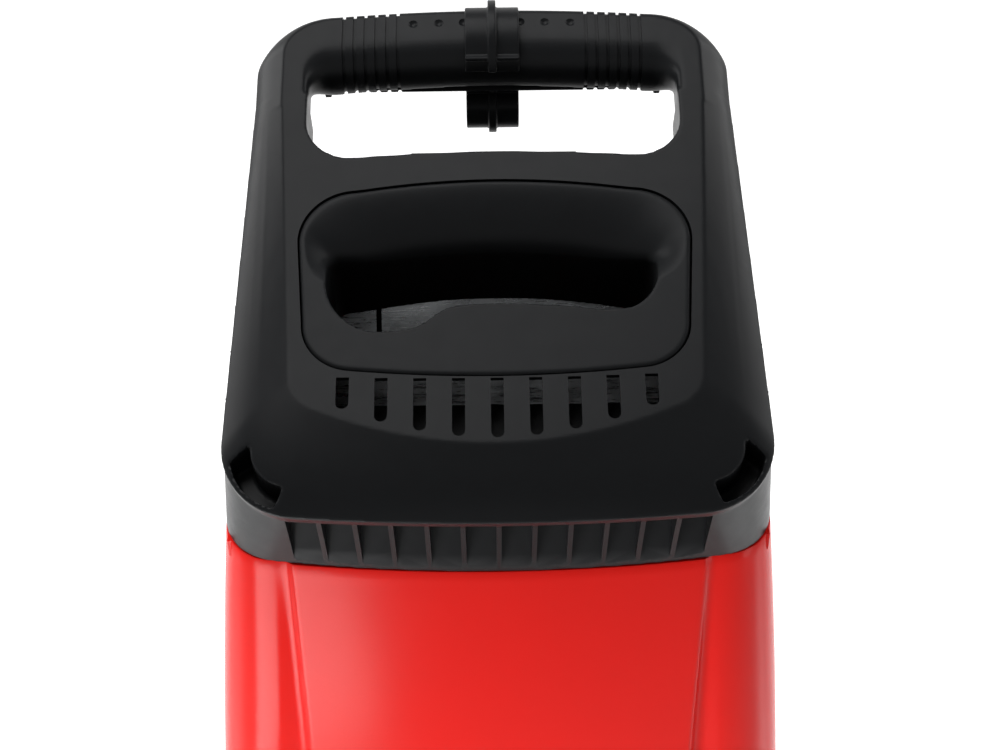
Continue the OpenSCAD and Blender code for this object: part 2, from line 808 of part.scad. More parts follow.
// fork on the rear shell that the lock knob clamps
module lock_bracket() {
    z0 = part_z + 16;
    z1 = part_z + 36;
    color([0.68, 0.69, 0.7])
        difference() {
            union() {
                translate([-18, 0, 0])
                    rotate([90, 0, 90])
                        linear_extrude(36)
                            polygon([
                                [tower_rear(z0) + fit_gap, z0], [knob_y - 0.8, z0], [knob_y - 0.8, z1],
                                [tower_rear(z1) + fit_gap, z1]]);
                translate([-16, knob_y - 4.8, part_z - 12])
                    cube([32, 4, 30]);
            }
            // open slot for the knob's stud
            translate([0, knob_y - 10, part_z])
                rotate([-90, 0, 0])
                    cylinder(h = 20, r = 5, $fn = 40);
            translate([-5, knob_y - 10, part_z - 30])
                cube([10, 20, 30]);
        }
}

// screws that hold the hood on the eyes of the front shell
module hood_screws() {
    color([0.55, 0.56, 0.58])
        for (s = [-1, 1])
            translate([s * post_x, post_y, tower_z1 - 12 - eps])
                mirror([0, 0, 1])
                    screw(34, 2);
}

// screws that hold the counter knife and the deflector plate
module shell_screws() {
    color([0.5, 0.51, 0.53])
        for (s = [-1, 1])
            translate([s * 42, chute_rear + 13, tower_z0 + 6.8 + eps])
                screw(16, 3, 5);
}

// solid form of the base housing, grown by a gap
module base_outer(grow) {
    loft([for (z = [base_bottom_z, base_bottom_z + 4, base_bottom_z + 30, base_bottom_z + 70, base_z1])
        at_z(base_plan(max(z, base_bottom_z), (z == base_bottom_z ? 4 : 0) - grow), z)]);
}

module leg_line(a, b, r, from, to, fn = 64) {
    u = (b - a) / norm(b - a);
    rod(a + u * from, a + u * to, r, fn);
}

module base_housing() {
    color([0.17, 0.175, 0.18])
        difference() {
            union() {
                difference() {
                    base_outer(0);
                    loft([for (z = [base_bottom_z + 4, base_bottom_z + 30, base_bottom_z + 70, base_z1, base_z1 + 1])
                        at_z(base_plan(min(z, base_z1), 3.5), z)]);
                }
                // posts for the cutting chamber
                for (sx = [-1, 1])
                    for (sy = [-1, 1])
                        translate([sx * 120, rotor_y + sy * 68, base_bottom_z + 2])
                            cylinder(h = chamber_flange_z - base_bottom_z - 2 - slide_gap, r = 7, $fn = 32);
                // leg sockets
                for (s = [0, 1])
                    mirror([s, 0, 0]) {
                        intersection() {
                            union() {
                                leg_line(leg_front_top, leg_front_low, tube_r + 5, -20, 52);
                                leg_line(leg_rear_top, leg_rear_low, tube_r + 5, -20, 52);
                            }
                            translate([0, -300, 0])
                                cube([400, 600, base_bottom_z + 3]);
                        }
                    }
                // turret of the switch
                translate([turret_x - 36, -turret_half, turret_z0])
                    cube([36, 2 * turret_half, turret_h]);
                // hinge knuckles
                for (s = [-1, 1])
                    translate([s * hinge_x, 0, 0]) {
                        knuckle(-22, -9 - slide_gap, -1);
                        knuckle(9 + slide_gap, 22, -1);
                    }
                // lug of the lock knob
                translate([-13, tower_bottom_rear - 2.5, part_z - 34])
                    cube([26, knob_y - 5.6 - tower_bottom_rear + 2.5, 33.5]);
                translate([-13, tower_bottom_rear + 0.8, part_z - 10])
                    cube([26, knob_y - 6.4 - tower_bottom_rear, 22]);
            }
            // motor opening
            translate([0, rotor_y, base_bottom_z - 1])
                cylinder(h = 8, r = stator_r + 6, $fn = 96);
            // discharge window
            translate([-60, -130, part_z - 96])
                cube([120, 60, 82]);
            // room behind the switch plate
            translate([turret_x - 60, -turret_half + 3, turret_z0 + 3])
                cube([70, 2 * turret_half - 6, turret_h - 6]);
            // inlet opening
            translate([turret_x - 22, turret_half - 10, turret_z0 + 30])
                cube([19, 20, 30]);
            // leg bores
            for (s = [0, 1])
                mirror([s, 0, 0]) {
                    leg_line(leg_front_top, leg_front_low, tube_r + fit_gap, -1, 60);
                    leg_line(leg_rear_top, leg_rear_low, tube_r + fit_gap, -1, 60);
                }
            // hinge bores
            for (s = [-1, 1])
                translate([s * hinge_x, hinge_y, part_z])
                    rod_x(-30, 30, pin_r + 0.05);
            // bore for the knob's stud
            translate([0, tower_bottom_rear - 30, part_z])
                rotate([-90, 0, 0])
                    cylinder(h = 60, r = 4 + fit_gap, $fn = 40);
        }
}
chamber_flange_z = part_z - 6;

module cutting_chamber() {
    color([0.2, 0.205, 0.21])
        difference() {
            union() {
                translate([0, rotor_y, chamber_z0])
                    cylinder(h = chamber_flange_z - chamber_z0 + 2, r = chamber_r + 4, $fn = 120);
                translate([0, 0, chamber_flange_z])
                    linear_extrude(4.5)
                        polygon(base_plan(chamber_flange_z, 5.5));
            }
            translate([0, rotor_y, chamber_z0 + 4])
                cylinder(h = 100, r = chamber_r, $fn = 120);
            translate([0, rotor_y, chamber_z0 - 1])
                cylinder(h = 10, r = 30, $fn = 64);
            translate([-60, rotor_y - chamber_r - 30, chamber_z0 + 4])
                cube([120, 60, chamber_flange_z - chamber_z0 - 8]);
        }
}

module discharge_chute() {
    y0 = -tower_bottom_front;
    color([0.18, 0.185, 0.19])
        difference() {
            translate([-68, 0, 0])
                rotate([90, 0, 90])
                    linear_extrude(136)
                        polygon([
                            [y0 + 14, part_z - 8], [y0 - 22, part_z - 8], [y0 - 75, part_z - 100],
                            [y0 - 75, part_z - 176], [y0 - 14, part_z - 176], [y0 + 14, part_z - 112]]);
            translate([-65, 0, 0])
                rotate([90, 0, 90])
                    linear_extrude(130)
                        polygon([
                            [y0 + 20, part_z - 11], [y0 - 20.3, part_z - 11], [y0 - 72, part_z - 101],
                            [y0 - 72, part_z - 180], [y0 - 17.6, part_z - 180], [y0 + 11, part_z - 113],
                            [y0 + 20, part_z - 113]]);
            base_outer(slide_gap);
        }
}

module hinge_pins() {
    color([0.62, 0.63, 0.65])
        for (s = [-1, 1])
            translate([s * hinge_x, hinge_y, part_z])
                rod_x(-22, 22, pin_r);
}

module motor_bracket() {
    color([0.7, 0.71, 0.72])
        translate([0, rotor_y, bracket_z0])
            difference() {
                cylinder(h = 15.7, r = 80, $fn = 96);
                translate([0, 0, -1])
                    cylinder(h = 10, r = 72, $fn = 96);
                translate([0, 0, 1.7])
                    cylinder(h = 12, r = 17.5 + eps, $fn = 64);
                translate([0, 0, -10])
                    cylinder(h = 40, r = 12, $fn = 64);
            }
        translate([0, rotor_y, bracket_z0])
            color([0.7, 0.71, 0.72])
                difference() {
                    cylinder(h = 9.5, r = 22, $fn = 64);
                    translate([0, 0, 1.7])
                        cylinder(h = 12, r = 17.5 + eps, $fn = 64);
                    translate([0, 0, -10])
                        cylinder(h = 40, r = 12, $fn = 64);
                }
}

module motor_stator() {
    color([0.42, 0.43, 0.45])
        translate([0, rotor_y, stack_z0])
            difference() {
                cylinder(h = stack_z1 - stack_z0, r = stator_r, $fn = 96);
                translate([0, 0, -1])
                    cylinder(h = 100, r = armature_r + 1, $fn = 96);
            }
}

module field_windings() {
    color([0.66, 0.36, 0.16])
        for (z = [stack_z0 - 7.5, stack_z1 + 0.5])
            translate([0, rotor_y, z])
                difference() {
                    cylinder(h = 7, r = stator_r - 7, $fn = 72);
                    translate([0, 0, -1])
                        cylinder(h = 20, r = armature_r + 3, $fn = 72);
                }
}

module brush_holders() {
    color([0.7, 0.55, 0.25])
        translate([0, rotor_y, cover_z0 + 36]) {
            difference() {
                cylinder(h = 4, r = stator_r - 0.4, $fn = 72);
                translate([0, 0, -1])
                    cylinder(h = 10, r = 26, $fn = 64);
            }
            for (s = [-1, 1])
                translate([s * 34, 0, 12])
                    cube([24, 14, 16.5], center = true);
            for (s = [-1, 1])
                translate([s * 20.5, 0, 12])
                    cube([4, 8, 10], center = true);
        }
}

module bearings() {
    color([0.75, 0.76, 0.78])
        translate([0, rotor_y, 0])
            for (b = [[bracket_z0 + 1.8, 17.5], [cover_z0 + 6.2, 16]])
                translate([0, 0, b[0]])
                    difference() {
                        cylinder(h = 11.6, r = b[1], $fn = 64);
                        translate([0, 0, -1])
                            cylinder(h = 20, r = shaft_r + eps, $fn = 64);
                    }
}

module motor_cover() {
    wall = 3;
    r = stator_r + 16;
    h = base_bottom_z - cover_z0 - slide_gap;
    color([0.16, 0.165, 0.17])
        translate([0, rotor_y, cover_z0])
            difference() {
                union() {
                    difference() {
                        cylinder(h = h, r = r, $fn = 96);
                        translate([0, 0, wall])
                            cylinder(h = h, r = r - wall, $fn = 96);
                    }
                    difference() {
                        translate([0, 0, h - 4])
                            cylinder(h = 4, r = r + 10, $fn = 96);
                        translate([0, 0, h - 10])
                            cylinder(h = 20, r = r - wall, $fn = 96);
                    }
                    cylinder(h = 18, r = 21, $fn = 64);
                    // ribs that hold the brush plate and the stator
                    for (a = [45:90:315])
                        rotate([0, 0, a])
                            difference() {
                                translate([stator_r - 6, -3, 1])
                                    cube([r - stator_r + 4, 6, h - 1]);
                                translate([0, 0, 36 - slide_gap])
                                    cylinder(h = h, r = stator_r + slide_gap, $fn = 96);
                            }
                }
                translate([0, 0, 6])
                    cylinder(h = 20, r = 16 + eps, $fn = 64);
                // air slots in the bottom
                for (a = [0:30:330])
                    rotate([0, 0, a])
                        translate([30, -3, -1])
                            cube([18, 6, wall + 2]);
                // air slots in the side
                for (a = [0:15:345])
                    rotate([0, 0, a])
                        translate([r - 10, -2.5, 12])
                            cube([20, 5, 26]);
                // holes of the cover screws
                for (a = [0:90:270])
                    rotate([0, 0, a])
                        translate([r + 5, 0, h - 10])
                            cylinder(h = 20, r = 2.2, $fn = 24);
            }
}

module base_screws() {
    r = stator_r + 21;
    color([0.55, 0.56, 0.58])
        for (a = [0:90:270])
            translate([r * cos(a), rotor_y + r * sin(a), base_bottom_z - slide_gap - 4 - eps])
                mirror([0, 0, 1])
                    screw(4.2, 2);
        for (sy = [-1, 1])
            for (sz = [0, 1])
                translate([turret_x + 3.2 + eps, sy * (turret_half - 6), turret_z0 + 6 + sz * (turret_h - 12)])
                    rotate([0, 90, 0])
                        color([0.55, 0.56, 0.58])
                            cylinder(h = 2, r = 3.4, $fn = 32);
}

module switch_plate() {
    color([0.22, 0.225, 0.23])
        translate([turret_x + 0.2, 0, turret_z0 + turret_h / 2])
            rotate([0, 90, 0])
                difference() {
                    soft_box(turret_h, 2 * turret_half, 3, 8);
                    for (s = [-1, 1])
                        translate([-14, s * 17, -1])
                            cylinder(h = 10, r = button_r + slide_gap, $fn = 64);
                    translate([20, 0, -1])
                        cylinder(h = 10, r = 6 + slide_gap, $fn = 48);
                }
}

// switch with the stems' guide behind the plate
module switch_module() {
    color([0.12, 0.12, 0.13])
        translate([turret_x - 34, -34, turret_z0 + 16])
            difference() {
                cube([33.6, 68, 58]);
                for (s = [-1, 1])
                    translate([12, 34 + s * 17, turret_h / 2 - 2])
                        rotate([0, 90, 0])
                            cylinder(h = 30, r = button_r + slide_gap, $fn = 64);
                translate([12, 34, turret_h / 2 - 36])
                    rotate([0, 90, 0])
                        cylinder(h = 30, r = 6 + slide_gap, $fn = 48);
            }
}

module push_button(y, dz, r, out, stroke) {
    translate([turret_x - 22 + stroke + 0.6, y, turret_z0 + turret_h / 2 + dz])
        rotate([0, 90, 0])
            union() {
                cylinder(h = 22 + 3.2 + out - stroke - 0.6 - 1.5, r = r, $fn = 64);
                cylinder(h = 22 + 3.2 + out - stroke - 0.6, r = r - 1.5, $fn = 64);
            }
}

module on_button() {
    color([0.08, 0.5, 0.2])
        push_button(-17, 14, button_r, button_stroke + 2.5, button_stroke);
}

module off_button() {
    color([0.75, 0.06, 0.05])
        push_button(17, 14, button_r, button_stroke + 2.5, button_stroke);
}

module reset_button() {
    color([0.12, 0.12, 0.13])
        push_button(0, -20, 6, 5, 3);
}

module power_inlet() {
    color([0.14, 0.145, 0.15])
        translate([turret_x - 12.5, turret_half - 8, turret_z0 + 45])
            rotate([-90, 0, 0])
                difference() {
                    union() {
                        soft_box(18, 29, 34, 4);
                        translate([0, 0, 8.2])
                            soft_box(23, 36, 3, 5);
                    }
                    translate([0, 0, 6])
                        soft_box(14.5, 25.5, 40, 3);
                }
}

module inlet_pins() {
    color([0.8, 0.66, 0.35])
        translate([turret_x - 12.5, turret_half - 2 + eps, turret_z0 + 45])
            for (i = [-1:1])
                translate([0, 0, i * 8])
                    rotate([-90, 0, 0])
                        cylinder(h = 19, r = 2, $fn = 32);
}

// switch that only lets the motor run with the hopper closed
module interlock_switch() {
    color([0.1, 0.1, 0.11])
        translate([40, tower_bottom_rear - 14.2, part_z - 33])
            cube([26, 9, 22]);
}

module front_leg(s) {
    color([0.24, 0.245, 0.25])
        mirror([s, 0, 0])
            difference() {
                rod(leg_front_top, leg_front_low, tube_r);
                leg_line(leg_front_top, leg_front_low, tube_r - tube_wall, -5, 400);
            }
}

module rear_leg(s) {
    n = norm(leg_rear_low - leg_rear_top);
    color([0.24, 0.245, 0.25])
        mirror([s, 0, 0])
            difference() {
                leg_line(leg_rear_top, leg_rear_low, tube_r, 0, n - axle_r - 6);
                leg_line(leg_rear_top, leg_rear_low, tube_r - tube_wall, -5, n);
            }
}

module front_leg_left() front_leg(1);
module front_leg_right() front_leg(0);
module rear_leg_left() rear_leg(1);
module rear_leg_right() rear_leg(0);

module front_brace() {
    k = (leg_front_top[2] - 92) / (leg_front_top[2] - leg_front_low[2]);
    p = leg_front_top + (leg_front_low - leg_front_top) * k;
    color([0.24, 0.245, 0.25])
        difference() {
            translate([0, p[1], p[2]])
                rod_x(-p[0], p[0], tube_r - 3, 64);
            translate([0, p[1], p[2]])
                rod_x(-p[0] - 1, p[0] + 1, tube_r - 3 - tube_wall, 64);
            for (s = [0, 1])
                mirror([s, 0, 0])
                    rod(leg_front_top, leg_front_low, tube_r + fit_gap);
        }
}

module front_foot(s) {
    color([0.1, 0.1, 0.105])
        mirror([s, 0, 0])
            difference() {
                union() {
                    translate([foot_x, foot_y, 0])
                        cylinder(h = 10, r = foot_r, $fn = 72);
                    leg_line(leg_front_low, leg_front_top, tube_r + 4, -4, 34);
                }
                leg_line(leg_front_low, leg_front_top, tube_r + fit_gap, -0.3, 60);
                translate([foot_x - 50, foot_y - 50, -40])
                    cube([100, 100, 40]);
            }
}

module front_foot_left() front_foot(1);
module front_foot_right() front_foot(0);

module axle_block(s) {
    color([0.13, 0.135, 0.14])
        mirror([s, 0, 0])
            difference() {
                union() {
                    translate([block_x - 15, axle_y, axle_z])
                        rod_x(0, 30, axle_r + 11, 64);
                    leg_line(leg_rear_low, leg_rear_top, tube_r + 4, 0, 52);
                }
                leg_line(leg_rear_low, leg_rear_top, tube_r + fit_gap, axle_r + 5.7, 80);
                translate([0, axle_y, axle_z])
                    rod_x(block_x - 40, block_x + 40, axle_r + fit_gap, 64);
            }
}

module axle_block_left() axle_block(1);
module axle_block_right() axle_block(0);

module axle() {
    half = track_w / 2 + wheel_w / 2 + 7;
    color([0.62, 0.63, 0.65])
        translate([0, axle_y, axle_z])
            rod_x(-half, half, axle_r, 64);
}

// push-on caps at the ends of the axle
module axle_caps() {
    x = track_w / 2 + wheel_w / 2 + 1;
    color([0.12, 0.12, 0.125])
        for (s = [0, 1])
            mirror([s, 0, 0])
                translate([0, axle_y, axle_z])
                    difference() {
                        union() {
                            rod_x(x, x + 8, 16, 64);
                            rod_x(x + 8, x + 10, 13, 64);
                        }
                        rod_x(x - 1, x + 6 + eps, axle_r + eps, 64);
                    }
}

// cross screws of the leg sockets
module leg_screws() {
    color([0.55, 0.56, 0.58])
        for (s = [0, 1])
            mirror([s, 0, 0])
                for (leg = [[leg_front_top, leg_front_low], [leg_rear_top, leg_rear_low]]) {
                    u = (leg[1] - leg[0]) / norm(leg[1] - leg[0]);
                    p = leg[0] + u * 34;
                    v = [1, 0, 0] - u * u[0];
                    n = v / norm(v);
                    rod(p + n * (tube_r + 5.2), p + n * (tube_r + 7.7), 4.5, 32);
                }
}

module motor_shaft() {
    color([0.6, 0.61, 0.63])
        translate([0, rotor_y, 0])
            difference() {
                translate([0, 0, cover_z0 + 7])
                    cylinder(h = disc_top_z - 1 - cover_z0 - 7, r = shaft_r, $fn = 64);
                translate([0, 0, disc_top_z - 30])
                    cylinder(h = 40, r = 4.1, $fn = 32);
            }
}

module armature() {
    color([0.45, 0.4, 0.36])
        translate([0, rotor_y, stack_z0])
            difference() {
                union() {
                    cylinder(h = stack_z1 - stack_z0, r = armature_r, $fn = 96);
                    translate([0, 0, -8])
                        cylinder(h = stack_z1 - stack_z0 + 15, r = armature_r - 6, $fn = 72);
                }
                translate([0, 0, -20])
                    cylinder(h = 200, r = shaft_r + eps, $fn = 64);
                for (a = [0:30:330])
                    rotate([0, 0, a])
                        translate([armature_r - 3, -1.2, -1])
                            cube([6, 2.4, 100]);
            }
}

module commutator() {
    color([0.72, 0.42, 0.2])
        translate([0, rotor_y, cover_z0 + 40])
            difference() {
                cylinder(h = 22, r = 18, $fn = 72);
                translate([0, 0, -1])
                    cylinder(h = 60, r = shaft_r + eps, $fn = 64);
            }
}

module cooling_fan() {
    color([0.2, 0.2, 0.22])
        translate([0, rotor_y, stack_z1 + 9])
            difference() {
                union() {
                    cylinder(h = 13, r = 15, $fn = 64);
                    cylinder(h = 2, r = 48, $fn = 72);
                    for (a = [0:36:324])
                        rotate([0, 0, a])
                            translate([13, -1, 0])
                                cube([33, 2, 13]);
                }
                translate([0, 0, -1])
                    cylinder(h = 60, r = shaft_r + eps, $fn = 64);
            }
}

module disc_hub() {
    color([0.5, 0.51, 0.53])
        translate([0, rotor_y, disc_top_z - disc_h - 26])
            difference() {
                union() {
                    cylinder(h = 26 - eps, r = 18, $fn = 64);
                    translate([0, 0, 20])
                        cylinder(h = 6 - eps, r = 30, $fn = 64);
                }
                translate([0, 0, -1])
                    cylinder(h = 60, r = shaft_r + eps, $fn = 64);
            }
}

module cutting_disc() {
    color([0.55, 0.56, 0.58])
        translate([0, rotor_y, disc_top_z - disc_h])
            difference() {
                union() {
                    cylinder(h = disc_h, r = disc_r, $fn = 120);
                    // ejector vanes
                    for (a = [45:90:315])
                        rotate([0, 0, a])
                            translate([40, -3, -14])
                                cube([disc_r - 46, 6, 15]);
                }
                translate([0, 0, -1])
                    cylinder(h = 60, r = shaft_r + eps, $fn = 64);
                // chip slots before the knives
                for (a = [0, 180])
                    rotate([0, 0, a])
                        translate([28, 19, -1])
                            cube([disc_r - 40, 12, 60]);
                // threads of the knife screws
                for (a = [0, 180])
                    rotate([0, 0, a])
                        for (x = [38, 66])
                            translate([x, 2, -1])
                                cylinder(h = 60, r = 3.1, $fn = 32);
            }
}

module knife(a) {
    color([0.74, 0.75, 0.77])
        translate([0, rotor_y, disc_top_z + eps])
            rotate([0, 0, a])
                difference() {
                    rotate([90, 0, 90])
                        translate([0, 0, 24])
                            linear_extrude(disc_r - 32)
                                polygon([[-14, 0], [20, 0], [14, knife_h], [-14, knife_h]]);
                    for (x = [38, 66])
                        translate([x, 2, -1])
                            cylinder(h = 60, r = 3.1, $fn = 32);
                }
}

module knife_left() knife(180);
module knife_right() knife(0);

// countersunk screws of the knives, with their heads under the disc
module knife_screws() {
    color([0.35, 0.36, 0.38])
        for (a = [0, 180])
            translate([0, rotor_y, disc_top_z - disc_h])
                rotate([0, 0, a])
                    for (x = [38, 66])
                        translate([x, 2, -3 - eps]) {
                            cylinder(h = disc_h + knife_h + 2.6, r = 3, $fn = 32);
                            cylinder(h = 3, r = 5, $fn = 32);
                        }
}

module disc_bolt() {
    color([0.62, 0.63, 0.65])
        translate([0, rotor_y, disc_top_z + eps]) {
            cylinder(h = 2, r = 12, $fn = 48);
            cylinder(h = 7, r = 8.5, $fn = 6);
            translate([0, 0, -26])
                cylinder(h = 27, r = 4, $fn = 32);
        }
}

module wheel_rim(s) {
    r = wheel_d / 2;
    color([0.16, 0.165, 0.17])
        mirror([s, 0, 0])
            translate([track_w / 2 - wheel_w / 2, axle_y, axle_z])
                rotate([0, 90, 0])
                    difference() {
                        union() {
                            difference() {
                                translate([0, 0, 2])
                                    cylinder(h = wheel_w - 4, r = r - 12, $fn = 120);
                                translate([0, 0, wheel_w / 2 + 3])
                                    cylinder(h = wheel_w, r = r - 18, $fn = 120);
                                translate([0, 0, -wheel_w / 2 - 3])
                                    cylinder(h = wheel_w, r = r - 18, $fn = 120);
                            }
                            cylinder(h = wheel_w, r = axle_r + 9, $fn = 64);
                            for (a = [0:60:300])
                                rotate([0, 0, a])
                                    translate([axle_r + 4, -2, 4])
                                        cube([r - axle_r - 20, 4, wheel_w - 8]);
                        }
                        translate([0, 0, -1])
                            cylinder(h = 100, r = axle_r + 0.08, $fn = 64);
                    }
}

module tyre(s) {
    r = wheel_d / 2;
    w = wheel_w;
    color([0.09, 0.09, 0.095])
        mirror([s, 0, 0])
            translate([track_w / 2 - w / 2, axle_y, axle_z])
                rotate([0, 90, 0])
                    rotate_extrude($fn = 120)
                        polygon([
                            [r - 12 + eps, 0.5], [r - 5, 0.5], [r - 1, 4], [r, 8], [r, w - 8],
                            [r - 1, w - 4], [r - 5, w - 0.5], [r - 12 + eps, w - 0.5]]);
}

module wheel_rim_left() wheel_rim(1);
module wheel_rim_right() wheel_rim(0);
module tyre_left() tyre(1);
module tyre_right() tyre(0);

// knob with its stud, turning about Y
module lock_knob() {
    color([0.12, 0.12, 0.125])
        translate([0, knob_y, part_z])
            rotate([-90, 0, 0])
                union() {
                    cylinder(h = 6, r = knob_r - 5, $fn = 72);
                    translate([0, 0, 5])
                        difference() {
                            cylinder(h = 20, r = knob_r, $fn = 96);
                            for (a = [30:60:330])
                                rotate([0, 0, a])
                                    translate([knob_r + 5, 0, -1])
                                        cylinder(h = 30, r = 10, $fn = 48);
                        }
                    translate([0, 0, tower_bottom_rear + 1.2 - knob_y])
                        cylinder(h = knob_y - tower_bottom_rear, r = 4, $fn = 40);
                }
}

hood();
handle_lower_shell();
handle_clip();
feed_panel();
vent_baffle();
deflector_plate();
feed_chute();
hopper_floor();
counter_knife();
front_shell();
rear_shell();
lock_bracket();
hood_screws();
shell_screws();
base_housing();
cutting_chamber();
discharge_chute();
hinge_pins();
motor_bracket();
motor_stator();
field_windings();
brush_holders();
bearings();
motor_cover();
base_screws();
switch_plate();
switch_module();
power_inlet();
inlet_pins();
interlock_switch();
front_leg_left();
front_leg_right();
rear_leg_left();
rear_leg_right();
front_brace();
front_foot_left();
front_foot_right();
axle_block_left();
axle_block_right();
axle();
axle_caps();
leg_screws();
motor_shaft();
armature();
commutator();
cooling_fan();
disc_hub();
cutting_disc();
knife_left();
knife_right();
knife_screws();
disc_bolt();
wheel_rim_left();
tyre_left();
wheel_rim_right();
tyre_right();
lock_knob();
on_button();
off_button();
reset_button();
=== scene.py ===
"""Looks of a garden shredder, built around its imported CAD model.

The hood, feed panel, tower shells, base housing and tyres are modelled afresh with fine sections.
Smaller mouldings are copies of their CAD nodes with softened edges, and the parts of the drive keep
their solids. Sizes in the classes are millimetres in the frame of the CAD; meshes are in metres.
"""

import logging
import math
from collections.abc import Callable, Sequence
from dataclasses import dataclass
from enum import Enum

import bmesh
import bpy
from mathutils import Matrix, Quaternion, Vector
from mathutils.kdtree import KDTree


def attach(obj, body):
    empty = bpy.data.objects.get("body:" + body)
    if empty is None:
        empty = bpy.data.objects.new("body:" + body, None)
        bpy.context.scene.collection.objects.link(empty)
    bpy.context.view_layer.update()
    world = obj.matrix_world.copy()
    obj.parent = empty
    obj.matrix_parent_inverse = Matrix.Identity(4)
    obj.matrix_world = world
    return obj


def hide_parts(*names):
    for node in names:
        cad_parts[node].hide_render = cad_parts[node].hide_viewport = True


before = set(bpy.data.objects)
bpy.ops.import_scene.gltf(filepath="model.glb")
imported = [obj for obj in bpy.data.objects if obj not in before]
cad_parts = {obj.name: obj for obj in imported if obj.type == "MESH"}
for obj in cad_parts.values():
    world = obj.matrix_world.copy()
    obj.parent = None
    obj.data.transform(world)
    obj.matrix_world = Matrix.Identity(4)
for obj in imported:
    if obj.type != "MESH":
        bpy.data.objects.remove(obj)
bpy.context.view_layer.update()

logging.basicConfig(level=logging.INFO, format="%(relativeCreated)7d %(name)s: %(message)s")
log = logging.getLogger("shredder")

MM = 0.001
# Corners closer than this, in metres, are merged; edges sharper than this, in degrees, stay sharp.
WELD, SHARP = 0.00002, 38.0
SIDES = (-1, 1)
# More triangles than any skin has, for skins that are thinned out after their cuts.
ALL = 4000000
# Axis of the hopper's hinges with its knuckles, and screw posts that join the hood and the front shell.
HINGE_X, HINGE_Y, HINGE_R = 95.0, -106.0, 7.0
POST_X, POST_Y = 121.5, -50.0
Pair = tuple[float, float]
Point = tuple[float, float, float]
Ring = list[Point]
Mesh = bpy.types.Object
Socket = bpy.types.NodeSocket
Material = bpy.types.Material


class Joinery(Enum):
    """Ways in which a tool meets a piece."""

    AWAY = "DIFFERENCE"
    ONTO = "UNION"
    WITHIN = "INTERSECT"


class Body(Enum):
    """Bodies of the machine that move apart from each other."""

    HOPPER = "hopper"
    BASE = "base"
    WHEEL_LEFT = "wheel_left"
    WHEEL_RIGHT = "wheel_right"
    LOCK_KNOB = "lock_knob"
    ON_BUTTON = "on_button"
    OFF_BUTTON = "off_button"
    RESET_BUTTON = "reset_button"


def mix(a: float, b: float, k: float) -> float:
    """Value between a and b."""
    return a + (b - a) * k


def arc(centre: Pair, radius: float, start: float, end: float, steps: int) -> list[Pair]:
    """Points of an arc.

    Args:
        centre: middle of the arc.
        radius: its radius.
        start: first angle in degrees.
        end: last angle in degrees.
        steps: number of chords.

    Returns:
        The points from the first angle to the last.
    """
    angles = [math.radians(mix(start, end, i / steps)) for i in range(steps + 1)]
    return [(centre[0] + radius * math.cos(a), centre[1] + radius * math.sin(a)) for a in angles]


def both(half: Sequence[Pair]) -> list[Pair]:
    """Closes the right half of an outline with its mirror image."""
    return [*half, *[(-x, y) for x, y in reversed(half[1:-1])]]


def plan(
    wf: float, wr: float, tf: float, bow: float, rf: float, tr: float, rbow: float, rr: float
) -> list[Pair]:
    """Rounded outline with a bowed front, a bowed rear and tapering sides.

    Args:
        wf: half width at the front.
        wr: half width at the rear.
        tf: front edge in the middle.
        bow: how far the front edge falls back at its ends.
        rf: radius of the front corners.
        tr: rear edge at its ends.
        rbow: how far the rear edge stands out in the middle.
        rr: radius of the rear corners.

    Returns:
        A closed outline.
    """
    a = math.atan(2 * bow / (wf - 0.6 * rf))
    xe = wf - rf + rf * math.sin(a)
    xr = wr - rr
    n, m, turn = 24, 16, 28
    front = [(xe * i / n, tf + bow * (i / n) ** 2) for i in range(n)]
    front += arc((wf - rf, tf + bow + rf * math.cos(a)), rf, math.degrees(a) - 90, 0, turn)
    rear = arc((xr, tr - rr), rr, 0, 88, turn)
    rear += [(xr * i / m, tr + rbow * (1 - (i / m) ** 2)) for i in range(m - 1, -1, -1)]
    return both(front + rear)


def between(a: Sequence[Pair], b: Sequence[Pair], k: float) -> list[Pair]:
    """Outline between two outlines of as many points."""
    return [(mix(p[0], q[0], k), mix(p[1], q[1], k)) for p, q in zip(a, b)]


def grown(outline: Sequence[Pair], by: float) -> list[Pair]:
    """Outline moved outwards, for outlines that run anticlockwise."""
    n = len(outline)
    moved = []
    for i, (x, y) in enumerate(outline):
        (x0, y0), (x1, y1) = outline[i - 1], outline[(i + 1) % n]
        side = Vector((y1 - y0, x0 - x1)).normalized()
        moved.append((x + by * side.x, y + by * side.y))
    return moved


def resampled(line: Sequence[Pair], step: float) -> list[Pair]:
    """Open line with points at even distances of about the given step."""
    runs = [0.0]
    for p, q in zip(line, line[1:]):
        runs.append(runs[-1] + math.dist(p, q))
    count = max(2, round(runs[-1] / step))
    points, j = [], 0
    for i in range(count + 1):
        want = runs[-1] * i / count
        while j < len(runs) - 2 and runs[j + 1] < want:
            j += 1
        k = (want - runs[j]) / max(1e-9, runs[j + 1] - runs[j])
        points.append((mix(line[j][0], line[j + 1][0], k), mix(line[j][1], line[j + 1][1], k)))
    return points


def relaxed(line: Sequence[Pair], rounds: int) -> list[Pair]:
    """Open line with its kinks eased over a few points."""
    now = list(line)
    for _ in range(rounds):
        inner = [
            ((a[0] + 2 * b[0] + c[0]) / 4, (a[1] + 2 * b[1] + c[1]) / 4)
            for a, b, c in zip(now, now[1:], now[2:])
        ]
        now = [now[0], *inner, now[-1]]
    return now


def level(outline: Sequence[Pair], z: float) -> Ring:
    """Outline at one height."""
    return [(x, y, z) for x, y in outline]


def across(outline: Sequence[Pair], x: float) -> Ring:
    """Outline in the Y-Z plane at one X."""
    return [(x, y, z) for y, z in outline]


